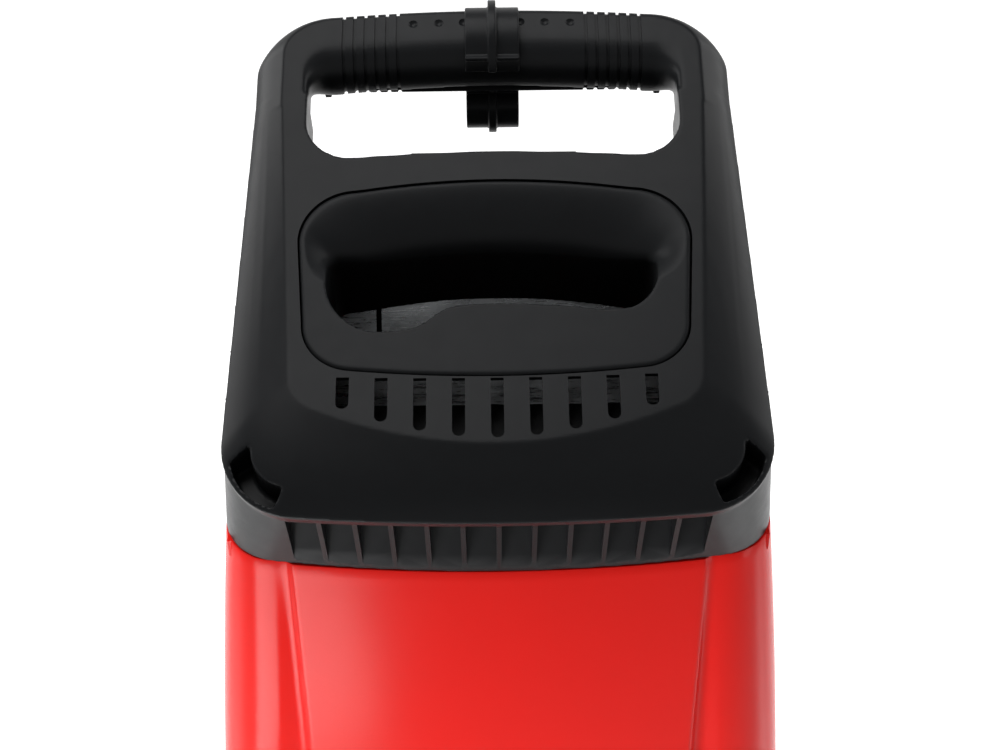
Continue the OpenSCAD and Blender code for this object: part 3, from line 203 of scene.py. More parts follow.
@dataclass(frozen=True)
class Slope:
    """Sloping frame of the hood: x across, t up the slope, w out of the flat top."""

    tilt: float = 21.0
    y: float = -35.0
    z: float = 860.0

    def point(self, x: float, t: float, w: float) -> Point:
        """Point of the slope in the machine's frame."""
        c, s = math.cos(math.radians(self.tilt)), math.sin(math.radians(self.tilt))
        return (x, self.y + t * c - w * s, self.z + t * s + w * c)

    def ring(self, outline: Sequence[Pair], w: float) -> Ring:
        """Outline at one distance from the flat top."""
        return [self.point(x, t, w) for x, t in outline]


SLOPE = Slope()


class Bench:
    """Hand tools: each makes or changes one mesh object with Blender's own operators."""

    @staticmethod
    def clear() -> None:
        """Leaves edit mode with nothing selected."""
        if bpy.context.mode != "OBJECT":
            bpy.ops.object.mode_set(mode="OBJECT")
        bpy.ops.object.select_all(action="DESELECT")

    @staticmethod
    def only(piece: Mesh) -> None:
        """Selects one piece and nothing else."""
        Bench.clear()
        piece.select_set(True)
        bpy.context.view_layer.objects.active = piece

    @staticmethod
    def settled() -> Mesh:
        """Makes the placing of the active object part of its mesh."""
        bpy.ops.object.transform_apply(location=True, rotation=True, scale=True)
        return bpy.context.object

    @staticmethod
    def edit(piece: Mesh, operator: Callable[..., object], **settings: object) -> None:
        """Runs one operator of the edit mode on the whole of a piece."""
        Bench.only(piece)
        bpy.ops.object.mode_set(mode="EDIT")
        bpy.ops.mesh.select_all(action="SELECT")
        operator(**settings)
        bpy.ops.object.mode_set(mode="OBJECT")

    @staticmethod
    def loft(name: str, rings: Sequence[Ring]) -> Mesh:
        """Closed form drawn up through rings of as many points, by extrusion from ring to ring.

        Args:
            name: the object's name.
            rings: the rings in millimetres, first to last.

        Returns:
            The new object.
        """
        Bench.clear()
        bpy.ops.mesh.primitive_circle_add(vertices=len(rings[0]), radius=1.0, fill_type="NGON")
        piece = bpy.context.object
        piece.name = name
        bpy.ops.object.mode_set(mode="EDIT")
        mesh = bmesh.from_edit_mesh(piece.data)
        for vertex, point in zip(mesh.verts, rings[0]):
            vertex.co = Vector(point) * MM
        bpy.ops.mesh.select_all(action="SELECT")
        for below, above in zip(rings, rings[1:]):
            tree = KDTree(len(below))
            for i, point in enumerate(below):
                tree.insert(Vector(point) * MM, i)
            tree.balance()
            bpy.ops.mesh.extrude_region_move()
            mesh = bmesh.from_edit_mesh(piece.data)
            for vertex in mesh.verts:
                if vertex.select:
                    vertex.co = Vector(above[tree.find(vertex.co)[1]]) * MM
        bpy.ops.mesh.select_all(action="SELECT")
        bpy.ops.mesh.normals_make_consistent(inside=False)
        bpy.ops.object.mode_set(mode="OBJECT")
        return piece

    @staticmethod
    def rod(start: Point, end: Point, radius: float, sides: int = 72) -> Mesh:
        """Round bar from one point to another.

        Args:
            start: middle of one end.
            end: middle of the other end.
            radius: its radius.
            sides: facets around it.

        Returns:
            The new object.
        """
        a, b = Vector(start) * MM, Vector(end) * MM
        Bench.clear()
        bpy.ops.mesh.primitive_cylinder_add(
            vertices=sides,
            radius=radius * MM,
            depth=(b - a).length,
            location=(a + b) / 2,
            rotation=(b - a).to_track_quat("Z", "Y").to_euler(),
        )
        return Bench.settled()

    @staticmethod
    def block(low: Point, high: Point) -> Mesh:
        """Rectangular block between two corners."""
        a, b = Vector(low) * MM, Vector(high) * MM
        Bench.clear()
        bpy.ops.mesh.primitive_cube_add(size=1.0, location=(a + b) / 2, scale=b - a)
        return Bench.settled()

    @staticmethod
    def ball(centre: Point, radius: float) -> Mesh:
        """Ball at a point."""
        Bench.clear()
        bpy.ops.mesh.primitive_uv_sphere_add(
            segments=32, ring_count=20, radius=radius * MM, location=Vector(centre) * MM
        )
        return Bench.settled()

    @staticmethod
    def twin(piece: Mesh, name: str) -> Mesh:
        """Copy of a piece with a mesh of its own."""
        copy = bpy.data.objects.new(name, piece.data.copy())
        bpy.context.scene.collection.objects.link(copy)
        return copy

    @staticmethod
    def from_node(node: str, name: str) -> Mesh:
        """Copy of a CAD node with its loose triangles merged.

        Args:
            node: the CAD node.
            name: the copy's name.

        Returns:
            The new object.
        """
        piece = Bench.twin(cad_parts[node], name)
        for key in list(piece.keys()):
            del piece[key]
        piece.data.materials.clear()
        Bench.only(piece)
        if piece.data.has_custom_normals:
            bpy.ops.mesh.customdata_custom_splitnormals_clear()
        Bench.edit(piece, bpy.ops.mesh.remove_doubles, threshold=WELD)
        return piece

    @staticmethod
    def gather(pieces: Sequence[Mesh]) -> Mesh:
        """Joins pieces into the first of them."""
        Bench.only(pieces[0])
        for piece in pieces[1:]:
            piece.select_set(True)
        if len(pieces) > 1:
            bpy.ops.object.join()
        return pieces[0]

    @staticmethod
    def combine(piece: Mesh, tools: Sequence[Mesh], how: Joinery) -> Mesh:
        """Cuts tools out of a piece, welds them on or keeps what they share, and removes them.

        Args:
            piece: the piece that changes.
            tools: closed forms that don't touch each other unless they are welded on.
            how: what is done with them.

        Returns:
            The piece.
        """
        batches = [[t] for t in tools] if how is Joinery.ONTO else [list(tools)]
        for batch in batches:
            tool = Bench.gather(batch)
            modifier = piece.modifiers.new("joinery", "BOOLEAN")
            modifier.operation = how.value
            modifier.solver = "MANIFOLD"
            modifier.object = tool
            Bench.only(piece)
            before = len(piece.data.vertices)
            bpy.ops.object.modifier_apply(modifier=modifier.name)
            if len(piece.data.vertices) == before:
                log.warning("%s: the joint with %s changed nothing", piece.name, tool.name)
            bpy.data.objects.remove(tool)
        return piece

    @staticmethod
    def trim(piece: Mesh, at: Point, away: Point) -> Mesh:
        """Cuts a piece by a plane and closes it.

        Args:
            piece: the piece that changes.
            at: a point of the plane.
            away: direction of the side that stays.

        Returns:
            The piece.
        """
        plane = {"plane_co": Vector(at) * MM, "plane_no": Vector(away).normalized()}
        Bench.edit(piece, bpy.ops.mesh.bisect, use_fill=True, clear_inner=True, **plane)
        return piece

    @staticmethod
    def apply(piece: Mesh) -> None:
        """Applies the piece's modifiers in their order."""
        Bench.only(piece)
        for modifier in list(piece.modifiers):
            bpy.ops.object.modifier_apply(modifier=modifier.name)

    @staticmethod
    def soften(piece: Mesh, voxel: float, rounds: int, limit: int) -> Mesh:
        """Gives a moulding the small radii of a real one.

        Args:
            piece: a closed form.
            voxel: size of the new skin's cells.
            rounds: passes of polishing.
            limit: most triangles that are left.

        Returns:
            The piece.
        """
        skin = piece.modifiers.new("skin", "REMESH")
        skin.mode = "VOXEL"
        skin.voxel_size = voxel * MM
        skin.use_smooth_shade = True
        polish = piece.modifiers.new("polish", "SMOOTH")
        polish.factor = 0.5
        polish.iterations = rounds
        Bench.apply(piece)
        Bench.thin(piece, limit)
        Bench.only(piece)
        bpy.ops.object.shade_smooth()
        return piece

    @staticmethod
    def triangles(piece: Mesh) -> int:
        """Number of triangles of a piece."""
        return sum(len(p.vertices) - 2 for p in piece.data.polygons)

    @staticmethod
    def thin(piece: Mesh, limit: int) -> None:
        """Leaves no more than a number of triangles."""
        triangles = Bench.triangles(piece)
        if triangles > limit:
            fewer = piece.modifiers.new("thin", "DECIMATE")
            fewer.ratio = limit / triangles
            Bench.apply(piece)

    @staticmethod
    def crisp(piece: Mesh, angle: float) -> Mesh:
        """Shades a piece smooth but for the edges that are sharper than an angle."""
        Bench.only(piece)
        bpy.ops.object.shade_smooth_by_angle(angle=math.radians(angle))
        return piece

    @staticmethod
    def ease(piece: Mesh, width: float, flat: float = 0.6) -> Mesh:
        """Rounds the sharp edges of a crisp part and shades the rest smooth.

        Args:
            piece: the part.
            width: width of the rounding.
            flat: faces that turn by fewer degrees than this are joined first.

        Returns:
            The piece.
        """
        Bench.edit(piece, bpy.ops.mesh.dissolve_limited, angle_limit=math.radians(flat))
        bevel = piece.modifiers.new("edges", "BEVEL")
        bevel.width = width * MM
        bevel.segments = 2
        bevel.limit_method = "ANGLE"
        bevel.angle_limit = math.radians(SHARP)
        bevel.use_clamp_overlap = True
        Bench.apply(piece)
        return Bench.crisp(piece, SHARP)


class Wiring:
    """Nodes and links of one node tree."""

    def __init__(self, tree: bpy.types.NodeTree) -> None:
        """Takes up a tree."""
        self.tree = tree

    def add(self, kind: str, **settings: object) -> bpy.types.Node:
        """Adds a node with its settings."""
        node = self.tree.nodes.new(kind)
        for key, value in settings.items():
            setattr(node, key, value)
        return node

    def link(self, source: Socket, target: Socket) -> None:
        """Joins two sockets."""
        self.tree.links.new(source, target)

    def span(self, source: Socket, low: float, high: float, start: float = 0.3, end: float = 0.7) -> Socket:
        """Maps a value to a range.

        Args:
            source: the value.
            low: result at the start.
            high: result at the end.
            start: value at which the range starts.
            end: value at which it ends.

        Returns:
            The socket of the result.
        """
        node = self.add("ShaderNodeMapRange")
        for key, value in (("From Min", start), ("From Max", end), ("To Min", low), ("To Max", high)):
            node.inputs[key].default_value = value
        self.link(source, node.inputs["Value"])
        return node.outputs["Result"]

    def maths(self, operation: str, a: Socket, b: Socket) -> Socket:
        """Result of an operation on two values."""
        node = self.add("ShaderNodeMath", operation=operation)
        self.link(a, node.inputs[0])
        self.link(b, node.inputs[1])
        return node.outputs["Value"]


class NodeSheet(Wiring):
    """Node tree of one finish, laid out on Object coordinates."""

    def __init__(self, name: str) -> None:
        """Starts a material with its shader."""
        self.material = bpy.data.materials.new(name)
        self.material.use_nodes = True
        super().__init__(self.material.node_tree)
        self.shader = self.tree.nodes["Principled BSDF"]
        self.place = self.add("ShaderNodeTexCoord").outputs["Object"]

    def stretched(self, scale: Point) -> Socket:
        """Coordinates drawn out along an axis."""
        mapping = self.add("ShaderNodeMapping")
        mapping.inputs["Scale"].default_value = scale
        self.link(self.place, mapping.inputs["Vector"])
        return mapping.outputs["Vector"]

    def noise(
        self, size: float, detail: float = 2.0, rough: float = 0.5, place: Socket | None = None
    ) -> Socket:
        """Noise.

        Args:
            size: its grain in millimetres.
            detail: octaves.
            rough: weight of the finer octaves.
            place: coordinates other than the object's own.

        Returns:
            The socket of its value.
        """
        node = self.add("ShaderNodeTexNoise")
        node.inputs["Scale"].default_value = 1000.0 / size
        node.inputs["Detail"].default_value = detail
        node.inputs["Roughness"].default_value = rough
        self.link(place or self.place, node.inputs["Vector"])
        return node.outputs["Fac"]

    def cells(self, size: float) -> Socket:
        """Colours of cells of a given size in millimetres."""
        node = self.add("ShaderNodeTexVoronoi")
        node.inputs["Scale"].default_value = 1000.0 / size
        self.link(self.place, node.inputs["Vector"])
        return node.outputs["Color"]

    def tones(self, source: Socket, colour: Point, dark: float, light: float) -> None:
        """Colours the shader between a darker and a lighter tone of a colour.

        Args:
            source: value from about 0.3 to 0.7 that chooses the tone.
            colour: linear colour.
            dark: share of it at the low end.
            light: share of it at the high end.
        """
        ramp = self.add("ShaderNodeValToRGB")
        for i, (position, share) in enumerate(((0.3, dark), (0.7, light))):
            ramp.color_ramp.elements[i].position = position
            ramp.color_ramp.elements[i].color = (*(c * share for c in colour), 1.0)
        self.link(source, ramp.inputs["Fac"])
        self.link(ramp.outputs["Color"], self.shader.inputs["Base Color"])

    def rough(self, source: Socket, low: float, high: float) -> None:
        """Varies the roughness between two values."""
        self.link(self.span(source, low, high), self.shader.inputs["Roughness"])

    def relief(self, heights: Sequence[tuple[Socket, float, float]]) -> None:
        """Stacks bumps on the shader.

        Args:
            heights: value, strength and depth in millimetres of each bump.
        """
        normal = None
        for height, strength, depth in heights:
            bump = self.add("ShaderNodeBump")
            bump.inputs["Strength"].default_value = strength
            bump.inputs["Distance"].default_value = depth * MM
            self.link(height, bump.inputs["Height"])
            if normal is not None:
                self.link(normal, bump.inputs["Normal"])
            normal = bump.outputs["Normal"]
        self.link(normal, self.shader.inputs["Normal"])

    def set(self, **values: float) -> None:
        """Sets plain values of the shader, with _ for a space in a socket's name."""
        for key, value in values.items():
            self.shader.inputs[key.replace("_", " ")].default_value = value


@dataclass(frozen=True)
class Finish:
    """Name, slot and linear colour that every finish has."""

    name: str
    slot: str
    colour: Point

    def draw(self, sheet: NodeSheet) -> None:
        """Lays out the nodes of the finish."""
        raise NotImplementedError

    def make(self) -> Material:
        """Builds the material."""
        sheet = NodeSheet(self.name)
        self.draw(sheet)
        return sheet.material


@dataclass(frozen=True)
class MouldedPlastic(Finish):
    """Moulded plastic with a spark-eroded grain."""

    rough: Pair = (0.42, 0.54)
    grain: float = 0.55
    depth: float = 0.05
    swirl: float = 0.025
    coat: float = 0.0
    sheen: float = 0.06

    def draw(self, sheet: NodeSheet) -> None:
        """Lays out the nodes of the finish."""
        drift = sheet.noise(70.0, 4.0, 0.6)
        sheet.tones(drift, self.colour, 1 - self.swirl, 1 + self.swirl)
        haze = sheet.noise(9.0, 5.0, 0.65)
        sheet.rough(haze, *self.rough)
        sheet.relief(
            [
                (sheet.noise(45.0, 2.0), 0.08, 0.12),
                (sheet.noise(self.grain, 3.0, 0.6), 0.45, self.depth),
            ]
        )
        sheet.set(Coat_Weight=self.coat, Coat_Roughness=0.12, Specular_IOR_Level=self.sheen)


@dataclass(frozen=True)
class Galvanised(Finish):
    """Zinc-coated sheet with its flowers and fine scratches."""

    flower: float = 9.0

    def draw(self, sheet: NodeSheet) -> None:
        """Lays out the nodes of the finish."""
        crystals = sheet.cells(self.flower)
        tone = sheet.add("ShaderNodeSeparateColor")
        sheet.link(crystals, tone.inputs["Color"])
        sheet.tones(sheet.span(tone.outputs["Red"], 0.3, 0.7, 0.0, 1.0), self.colour, 0.78, 1.1)
        streaks = sheet.noise(1.2, 3.0, 0.6, sheet.stretched((0.08, 1.0, 1.0)))
        sheet.rough(streaks, 0.2, 0.42)
        sheet.relief([(tone.outputs["Green"], 0.2, 0.1), (streaks, 0.25, 0.05)])
        sheet.set(Metallic=1.0)


@dataclass(frozen=True)
class WorkedMetal(Finish):
    """Turned, ground or drawn metal with its tool lines."""

    rough: Pair = (0.22, 0.4)
    lines: Point = (1.0, 1.0, 0.06)
    pitch: float = 0.9

    def draw(self, sheet: NodeSheet) -> None:
        """Lays out the nodes of the finish."""
        stain = sheet.noise(25.0, 4.0, 0.6)
        sheet.tones(stain, self.colour, 0.85, 1.08)
        tool = sheet.noise(self.pitch, 3.0, 0.6, sheet.stretched(self.lines))
        sheet.rough(tool, *self.rough)
        sheet.relief([(tool, 0.3, 0.06)])
        sheet.set(Metallic=1.0)


@dataclass(frozen=True)
class PowderCoat(Finish):
    """Baked powder paint with orange peel."""

    def draw(self, sheet: NodeSheet) -> None:
        """Lays out the nodes of the finish."""
        sheet.tones(sheet.noise(40.0, 3.0), self.colour, 0.9, 1.1)
        peel = sheet.noise(2.2, 2.0, 0.5)
        sheet.rough(peel, 0.32, 0.46)
        sheet.relief([(peel, 0.35, 0.12), (sheet.noise(0.5, 2.0), 0.15, 0.03)])


@dataclass(frozen=True)
class Rubber(Finish):
    """Soft dull rubber with a dusty bloom."""

    def draw(self, sheet: NodeSheet) -> None:
        """Lays out the nodes of the finish."""
        bloom = sheet.noise(18.0, 6.0, 0.7)
        sheet.tones(bloom, self.colour, 0.85, 1.35)
        sheet.rough(bloom, 0.62, 0.82)
        sheet.relief([(sheet.noise(0.8, 4.0, 0.7), 0.5, 0.08)])


@dataclass(frozen=True)
class Winding(Finish):
    """Enamelled copper wire laid in turns, or the bars of a commutator."""

    turn: float = 0.9

    def draw(self, sheet: NodeSheet) -> None:
        """Lays out the nodes of the finish."""
        wave = sheet.add("ShaderNodeTexWave", wave_type="BANDS", bands_direction="Z")
        wave.inputs["Scale"].default_value = 1000.0 / self.turn / 20.0
        wave.inputs["Distortion"].default_value = 0.4
        sheet.link(sheet.place, wave.inputs["Vector"])
        sheet.tones(sheet.noise(12.0, 4.0), self.colour, 0.75, 1.15)
        sheet.rough(sheet.noise(3.0, 3.0), 0.25, 0.45)
        sheet.relief([(wave.outputs["Fac"], 0.6, 0.3)])
        sheet.set(Metallic=1.0)


BLACK = MouldedPlastic("black_grained_plastic", "black_plastic", (0.0105, 0.011, 0.0118), (0.28, 0.35))
PANEL_BLACK = MouldedPlastic(
    "panel_grained_plastic", "black_plastic", (0.0105, 0.011, 0.0118), (0.34, 0.42), grain=0.6, depth=0.07
)
DARK = MouldedPlastic("dark_plain_plastic", "dark_plastic", (0.0085, 0.0088, 0.0094), (0.38, 0.5), 0.5, 0.03)
RED = MouldedPlastic(
    "red_gloss_plastic", "red_plastic", (0.76, 0.011, 0.007), (0.2, 0.25), 0.9, 0.004, swirl=0.01, sheen=0.075
)
BUTTON = {"rough": (0.26, 0.34), "grain": 0.8, "depth": 0.01, "swirl": 0.04, "coat": 0.2}
GREEN = MouldedPlastic("green_button_plastic", "green_plastic", (0.02, 0.26, 0.06), **BUTTON)
RED_BUTTON = MouldedPlastic("red_button_plastic", "red_button", (0.55, 0.012, 0.010), **BUTTON)
ZINC = Galvanised("galvanised_sheet", "galvanised", (0.66, 0.68, 0.70))
STEEL = WorkedMetal("ground_steel", "steel", (0.55, 0.56, 0.58))
STEEL_X = WorkedMetal("drawn_steel", "steel", (0.50, 0.51, 0.53), (0.24, 0.42), (0.06, 1.0, 1.0))
ALUMINIUM = WorkedMetal("cast_aluminium", "aluminium", (0.70, 0.71, 0.72), (0.36, 0.52), (1.0, 1.0, 1.0), 1.6)
COPPER = Winding("copper_wire", "copper", (0.72, 0.34, 0.16))
BRASS = WorkedMetal("stamped_brass", "brass", (0.78, 0.58, 0.26), (0.2, 0.36))
PAINT = PowderCoat("black_powder_coat", "black_paint", (0.022, 0.023, 0.024))
RUBBER = Rubber("black_rubber", "rubber", (0.012, 0.012, 0.013))

MATERIALS: dict[str, Material] = {}


def material_of(finish: Finish) -> Material:
    """Material of a finish, made at its first use."""
    if finish.name not in MATERIALS:
        MATERIALS[finish.name] = finish.make()
    return MATERIALS[finish.name]


def dress(piece: Mesh, finish: Finish, body: Body, *nodes: str) -> None:
    """Gives a finished piece its material and its body, and hides the CAD nodes that it stands for.

    Args:
        piece: the finished piece.
        finish: its finish.
        body: the body that carries it.
        nodes: the CAD nodes that it replaces.
    """
    piece.data.materials.clear()
    piece.data.materials.append(material_of(finish))
    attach(piece, body.value)
    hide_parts(*nodes)
    log.info("%s: %d triangles, %s, rides on %s", piece.name, Bench.triangles(piece), finish.name, body.value)


def dress_node(node: str, finish: Finish) -> None:
    """Gives a CAD node that stays in view its material."""
    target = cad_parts[node]
    target.data.materials.clear()
    target.data.materials.append(material_of(finish))
    log.info("%s: CAD node, %s", node, finish.name)


def moulded(
    node: str, finish: Finish, body: Body, voxel: float, rounds: int, limit: int, name: str = ""
) -> None:
    """Dresses a copy of a CAD node with the small radii of a moulding.

    Args:
        node: the CAD node.
        finish: the copy's finish.
        body: the body that carries it.
        voxel: size of the new skin's cells.
        rounds: passes of polishing.
        limit: most triangles that are left.
        name: the copy's name, if it isn't the node's with _moulding.
    """
    piece = Bench.from_node(node, name or f"{node}_moulding")
    dress(Bench.soften(piece, voxel, rounds, limit), finish, body, node)


def eased(node: str, name: str, finish: Finish, body: Body, width: float) -> None:
    """Dresses a copy of a CAD node with rounded edges of a given width."""
    dress(Bench.ease(Bench.from_node(node, name), width), finish, body, node)


@dataclass(frozen=True)
class TowerForm:
    """Form of the tower from the parting plane to the hood."""

    low_z: float = 430.0
    top_z: float = 762.0
    top_half: float = 143.75
    low_half: float = 174.5
    top_front: float = 77.0
    low_front: float = 97.0
    top_rear: float = 90.0
    low_rear: float = 112.0
    corner: float = 28.0
    swell: float = 8.0
    panel_half: float = 108.0
    flute: float = 8.0
    seam: float = 25.0
    wall: float = 3.2

    def spread(self, z: float) -> float:
        """Growth of the tower from its top (0) to the parting plane (1)."""
        s = (self.top_z - z) / (self.top_z - self.low_z)
        return s * (1.35 - 0.35 * s)

    def half(self, z: float) -> float:
        """Half width at a height."""
        return mix(self.top_half, self.low_half, self.spread(z))

    def front(self, z: float) -> float:
        """Distance from the axis to the front at a height."""
        return mix(self.top_front, self.low_front, self.spread(z))

    def rear(self, z: float) -> float:
        """Distance from the axis to the rear at a height."""
        return mix(self.top_rear, self.low_rear, self.spread(z))

    def whole(self, z: float, wall: float) -> list[Pair]:
        """Whole outline at a height, inset by a wall."""
        h, rear = self.half(z) - wall, self.rear(z) - wall
        return plan(h, h, wall - self.front(z), 9, self.corner + 4 - wall, rear, 0.01, 35 - wall)

    def front_line(self, z: float, wall: float) -> list[Pair]:
        """Outline of the front shell from the left seam to the right one.

        Args:
            z: height.
            wall: inset from the outer face.

        Returns:
            Points at even distances, with the moulded creases eased.
        """
        s = (self.top_z - z) / (self.top_z - self.low_z)
        h, sag, r, p = self.half(z), 7.0, self.corner + 4 * self.swell * s * (1 - s), self.panel_half
        xr, yp, g = h - r, sag - self.front(z), 1.5 + (self.flute - 1.5) * self.spread(z)
        half = [(p * i / 120, sag * (i / 120) ** 2 - self.front(z) + wall) for i in range(121)]
        for i in range(1, 48):
            u = i / 48
            half.append((mix(p, xr, u), yp + 3 * u + g * math.sin(math.pi * math.sqrt(u)) + wall))
        half += arc((xr, yp + 3 + r), r - wall, -90, 0, 64)
        half.append((h - wall, self.seam - 0.15))
        line = [(-x, y) for x, y in reversed(half[1:])] + half
        return relaxed(resampled(line, mix(1.25, 1.6, self.spread(z))), 2)

    def rear_line(self, z: float, wall: float) -> list[Pair]:
        """Outline of the rear shell from the right seam to the left one."""
        h, re = self.half(z), self.rear(z)
        half = [(h - wall, self.seam + 0.15), *arc((h - 35, re - 35), 35 - wall, 0, 90, 28), (0.0, re - wall)]
        line = half + [(-x, y) for x, y in reversed(half[:-1])]
        return relaxed(resampled(line, mix(2.4, 2.9, self.spread(z))), 1)


TOWER = TowerForm()


@dataclass
class Hood:
    """Tilted top of the hopper with its lip, vents, rib band and handle frame."""

    lip_half: float = 137.5
    rear_half: float = 129.25
    lip_t: float = 72.0
    drop: float = 17.0
    lip: float = 6.0
    wall: float = 3.0
    frame_depth: float = 36.0
    grip_half: float = 99.5
    grip_t: float = 133.0
    bar_t: float = 211.5
    bar_r: float = 18.8
    panel_gap: float = 0.6
    joint_t: float = 172.0
    pocket_outer: float = 29.9
    pocket_inner: float = 19.5
    pocket_depth: float = 32.0
    pocket_floor: float = 4.0
    pocket_wall: float = 2.4
    vent_r: float = 3.2
    vent_pitch: float = 19.1
    rib_pitch: float = 17.7
    rib_half: float = 7.6
    groove_start: float = 51.5
    groove_pitch: float = 5.9
    groove_half: float = 0.95

    def outer(self, inset: float, tr: float, rr: float) -> list[Pair]:
        """Outline over the lip."""
        wf, wr = self.lip_half - inset, self.rear_half - inset
        return plan(wf, wr, inset - self.lip_t, 4, 40 - inset, tr - inset, 3, rr - inset)

    def flat(self, inset: float, tr: float, rr: float) -> list[Pair]:
        """Outline of the flat top."""
        return plan(103 - inset, 114 - inset, inset - 37, 20, 20, tr - inset, 3, rr)

    def edge(self, u: float) -> float:
        """Fall of the top from the flat (0) to the lip (1)."""
        return -self.drop * (0.75 * u + 0.25 * u**4)

    def solid(self) -> Mesh:
        """Outer form without its hollows."""
        back = self.bar_t + self.bar_r
        rings = [SLOPE.ring(self.outer(0.8, back, 45), -self.drop - self.lip)]
        rim, top = self.outer(0, back, 45), self.flat(0, back - 14, 30)
        for i in range(25):
            u = 1 - i / 24
            rings.append(SLOPE.ring(between(top, rim, u), self.edge(u)))
        cap = Bench.loft("hood_moulding", rings)
        frame_rings = [(6, -self.frame_depth), (2, -self.frame_depth + 6), (0.8, -self.drop)]
        deep = Bench.loft("frame", [SLOPE.ring(self.outer(i, back, 45), w) for i, w in frame_rings])
        uphill = self.up_slope()
        Bench.trim(deep, SLOPE.point(0, 112, 0), (0.0, *uphill))
        skirt = Bench.loft(
            "skirt",
            [
                level(TOWER.whole(TOWER.top_z, 0), TOWER.top_z + 0.15),
                SLOPE.ring(self.outer(1, 118, 34), -self.drop - self.lip + 1),
            ],
        )
        Bench.combine(cap, [deep, skirt], Joinery.ONTO)
        return Bench.trim(cap, SLOPE.point(0, self.joint_t, 0), (0.0, -uphill[0], -uphill[1]))

    def up_slope(self) -> Pair:
        """Y and Z of the direction up the slope."""
        a = math.radians(SLOPE.tilt)
        return (math.cos(a), math.sin(a))

    def inside(self) -> Mesh:
        """Space inside the hood."""
        wf, wr, low = self.lip_half - 6, self.rear_half - 4, 2 - self.drop
        return Bench.loft(
            "inside",
            [
                level(TOWER.whole(TOWER.top_z, self.wall + 0.2), TOWER.top_z - 0.85),
                SLOPE.ring(plan(wf, wr, -48, 6, 30, 112, 3, 30), low - self.lip),
                SLOPE.ring(plan(wf - 3, wr - 1, -48, 8, 26, 110, 3, 28), low),
                SLOPE.ring(self.flat(self.wall + 1, 110, 26), -self.wall),
            ],
        )

    def slope_prism(self, outline: Sequence[Pair], low: float, high: float) -> Mesh:
        """Straight form square to the flat top."""
        return Bench.loft("tool", [SLOPE.ring(outline, low), SLOPE.ring(outline, high)])

    def pocket(self, side: int, grow: float, depth: float) -> Mesh:
        """Curved pocket at a front corner.

        Args:
            side: -1 for the left corner and 1 for the right one.
            grow: how much larger it is made all round.
            depth: its depth under the flat top.

        Returns:
            The tool.
        """
        centre = (self.lip_half - 35.2, 37.9 - self.lip_t)
        outline = arc(centre, self.pocket_outer + grow, -76 - 2 * grow, -9 + 2 * grow, 24)
        outline += arc(centre, self.pocket_inner - grow, 8 + 2 * grow, -82 - 2 * grow, 24)
        return self.slope_prism([(side * x, t) for x, t in outline], -depth, 40)

    def vent(self, x: float) -> Mesh:
        """Vent slot at a distance from the middle."""
        top, r = 0.3 * (x / 38) ** 2 - 1.5, self.vent_r
        low = -33.3 + 16.3 * (x / 76) ** 2 - 0.64
        outline = [(x + r, top), (x - r, top), *arc((x, low + r), r, 180, 360, 16)]
        return self.slope_prism(outline, -self.wall - 14, 30)

    def rib_pocket(self, x: float) -> Mesh:
        """Hollow between two ribs of the front band."""
        lip = SLOPE.point(0, -self.lip_t, -self.drop - self.lip)[2]
        back = 8 * (x / 106) ** 2 - TOWER.top_front
        low = TOWER.top_z + 0.15
        outline = [
            (back - 60, lip + 0.5),
            (back - 8, lip + 0.5),
            (back + 0.5, lip - 4),
            (back - 1, low + 14),
            (back - 3, low + 3),
            (back - 60, low + 3),
        ]
        return Bench.loft("tool", [across(outline, x + self.rib_half * s) for s in SIDES])

    def arm_hollow(self, side: int) -> Mesh:
        """Hollow of an arm, open below."""
        x, t, a, b = 114.375 * side, 154.0, 10.375, 32.0
        corners = ((1, -1, -90), (1, 1, 0), (-1, 1, 90), (-1, -1, 180))
        outline = []
        for sx, st, start in corners:
            outline += arc((x + sx * (a - 4), t + st * (b - 4)), 4, start, start + 90, 8)
        return self.slope_prism(outline, -self.frame_depth - 5, -21)

    def frame_lines(self) -> list[tuple[float, float, float, float]]:
        """Lines along the handle frame: X and depth on the arms, then T and depth on the bar."""
        inner, edge, crease, rim = self.grip_half, self.grip_half + 4, 113.2, self.rear_half + 0.4
        mid, front, rear, deep = self.bar_t - 2, 18.5, 21.5, 19.0
        lines = []
        for i in range(10):
            k, a = i / 10, math.radians(9 * i)
            on_arm = (mix(inner + 2, inner, k), mix(-self.frame_depth, -4, k))
            lines.append((*on_arm, mid - front * math.sin(a), -deep - deep * math.cos(a)))
        for i in range(11):
            a = math.radians(9 * i)
            on_arm = (edge - 4 * math.cos(a), -4 + 4 * math.sin(a))
            lines.append((*on_arm, mid - front * math.cos(a), -deep + deep * math.sin(a)))
        lines += [(mix(edge, crease, i / 7), 0.0, mix(mid, mid + 14, i / 7), 0.0) for i in range(1, 8)]
        for i in range(1, 15):
            k, a = i / 14, math.radians(90 * i / 14)
            on_arm = (mix(crease, rim, k), self.edge(k))
            lines.append((*on_arm, mid + 14 + (rear - 14) * math.sin(a), -deep + deep * math.cos(a)))
        for i, (x, w) in enumerate(((0.8, 6), (1.4, 10), (2, 13), (4, 16), (6, 19)), 1):
            a = math.radians(90 * i / 5.6)
            lines.append((rim - x, -self.drop - w, mid + rear * math.cos(a), -deep - deep * math.sin(a)))
        return lines

    def bow(self, x: float) -> float:
        """How far the bar falls back from its middle at a distance from it."""
        return 4.0 * (x / 90) ** 2

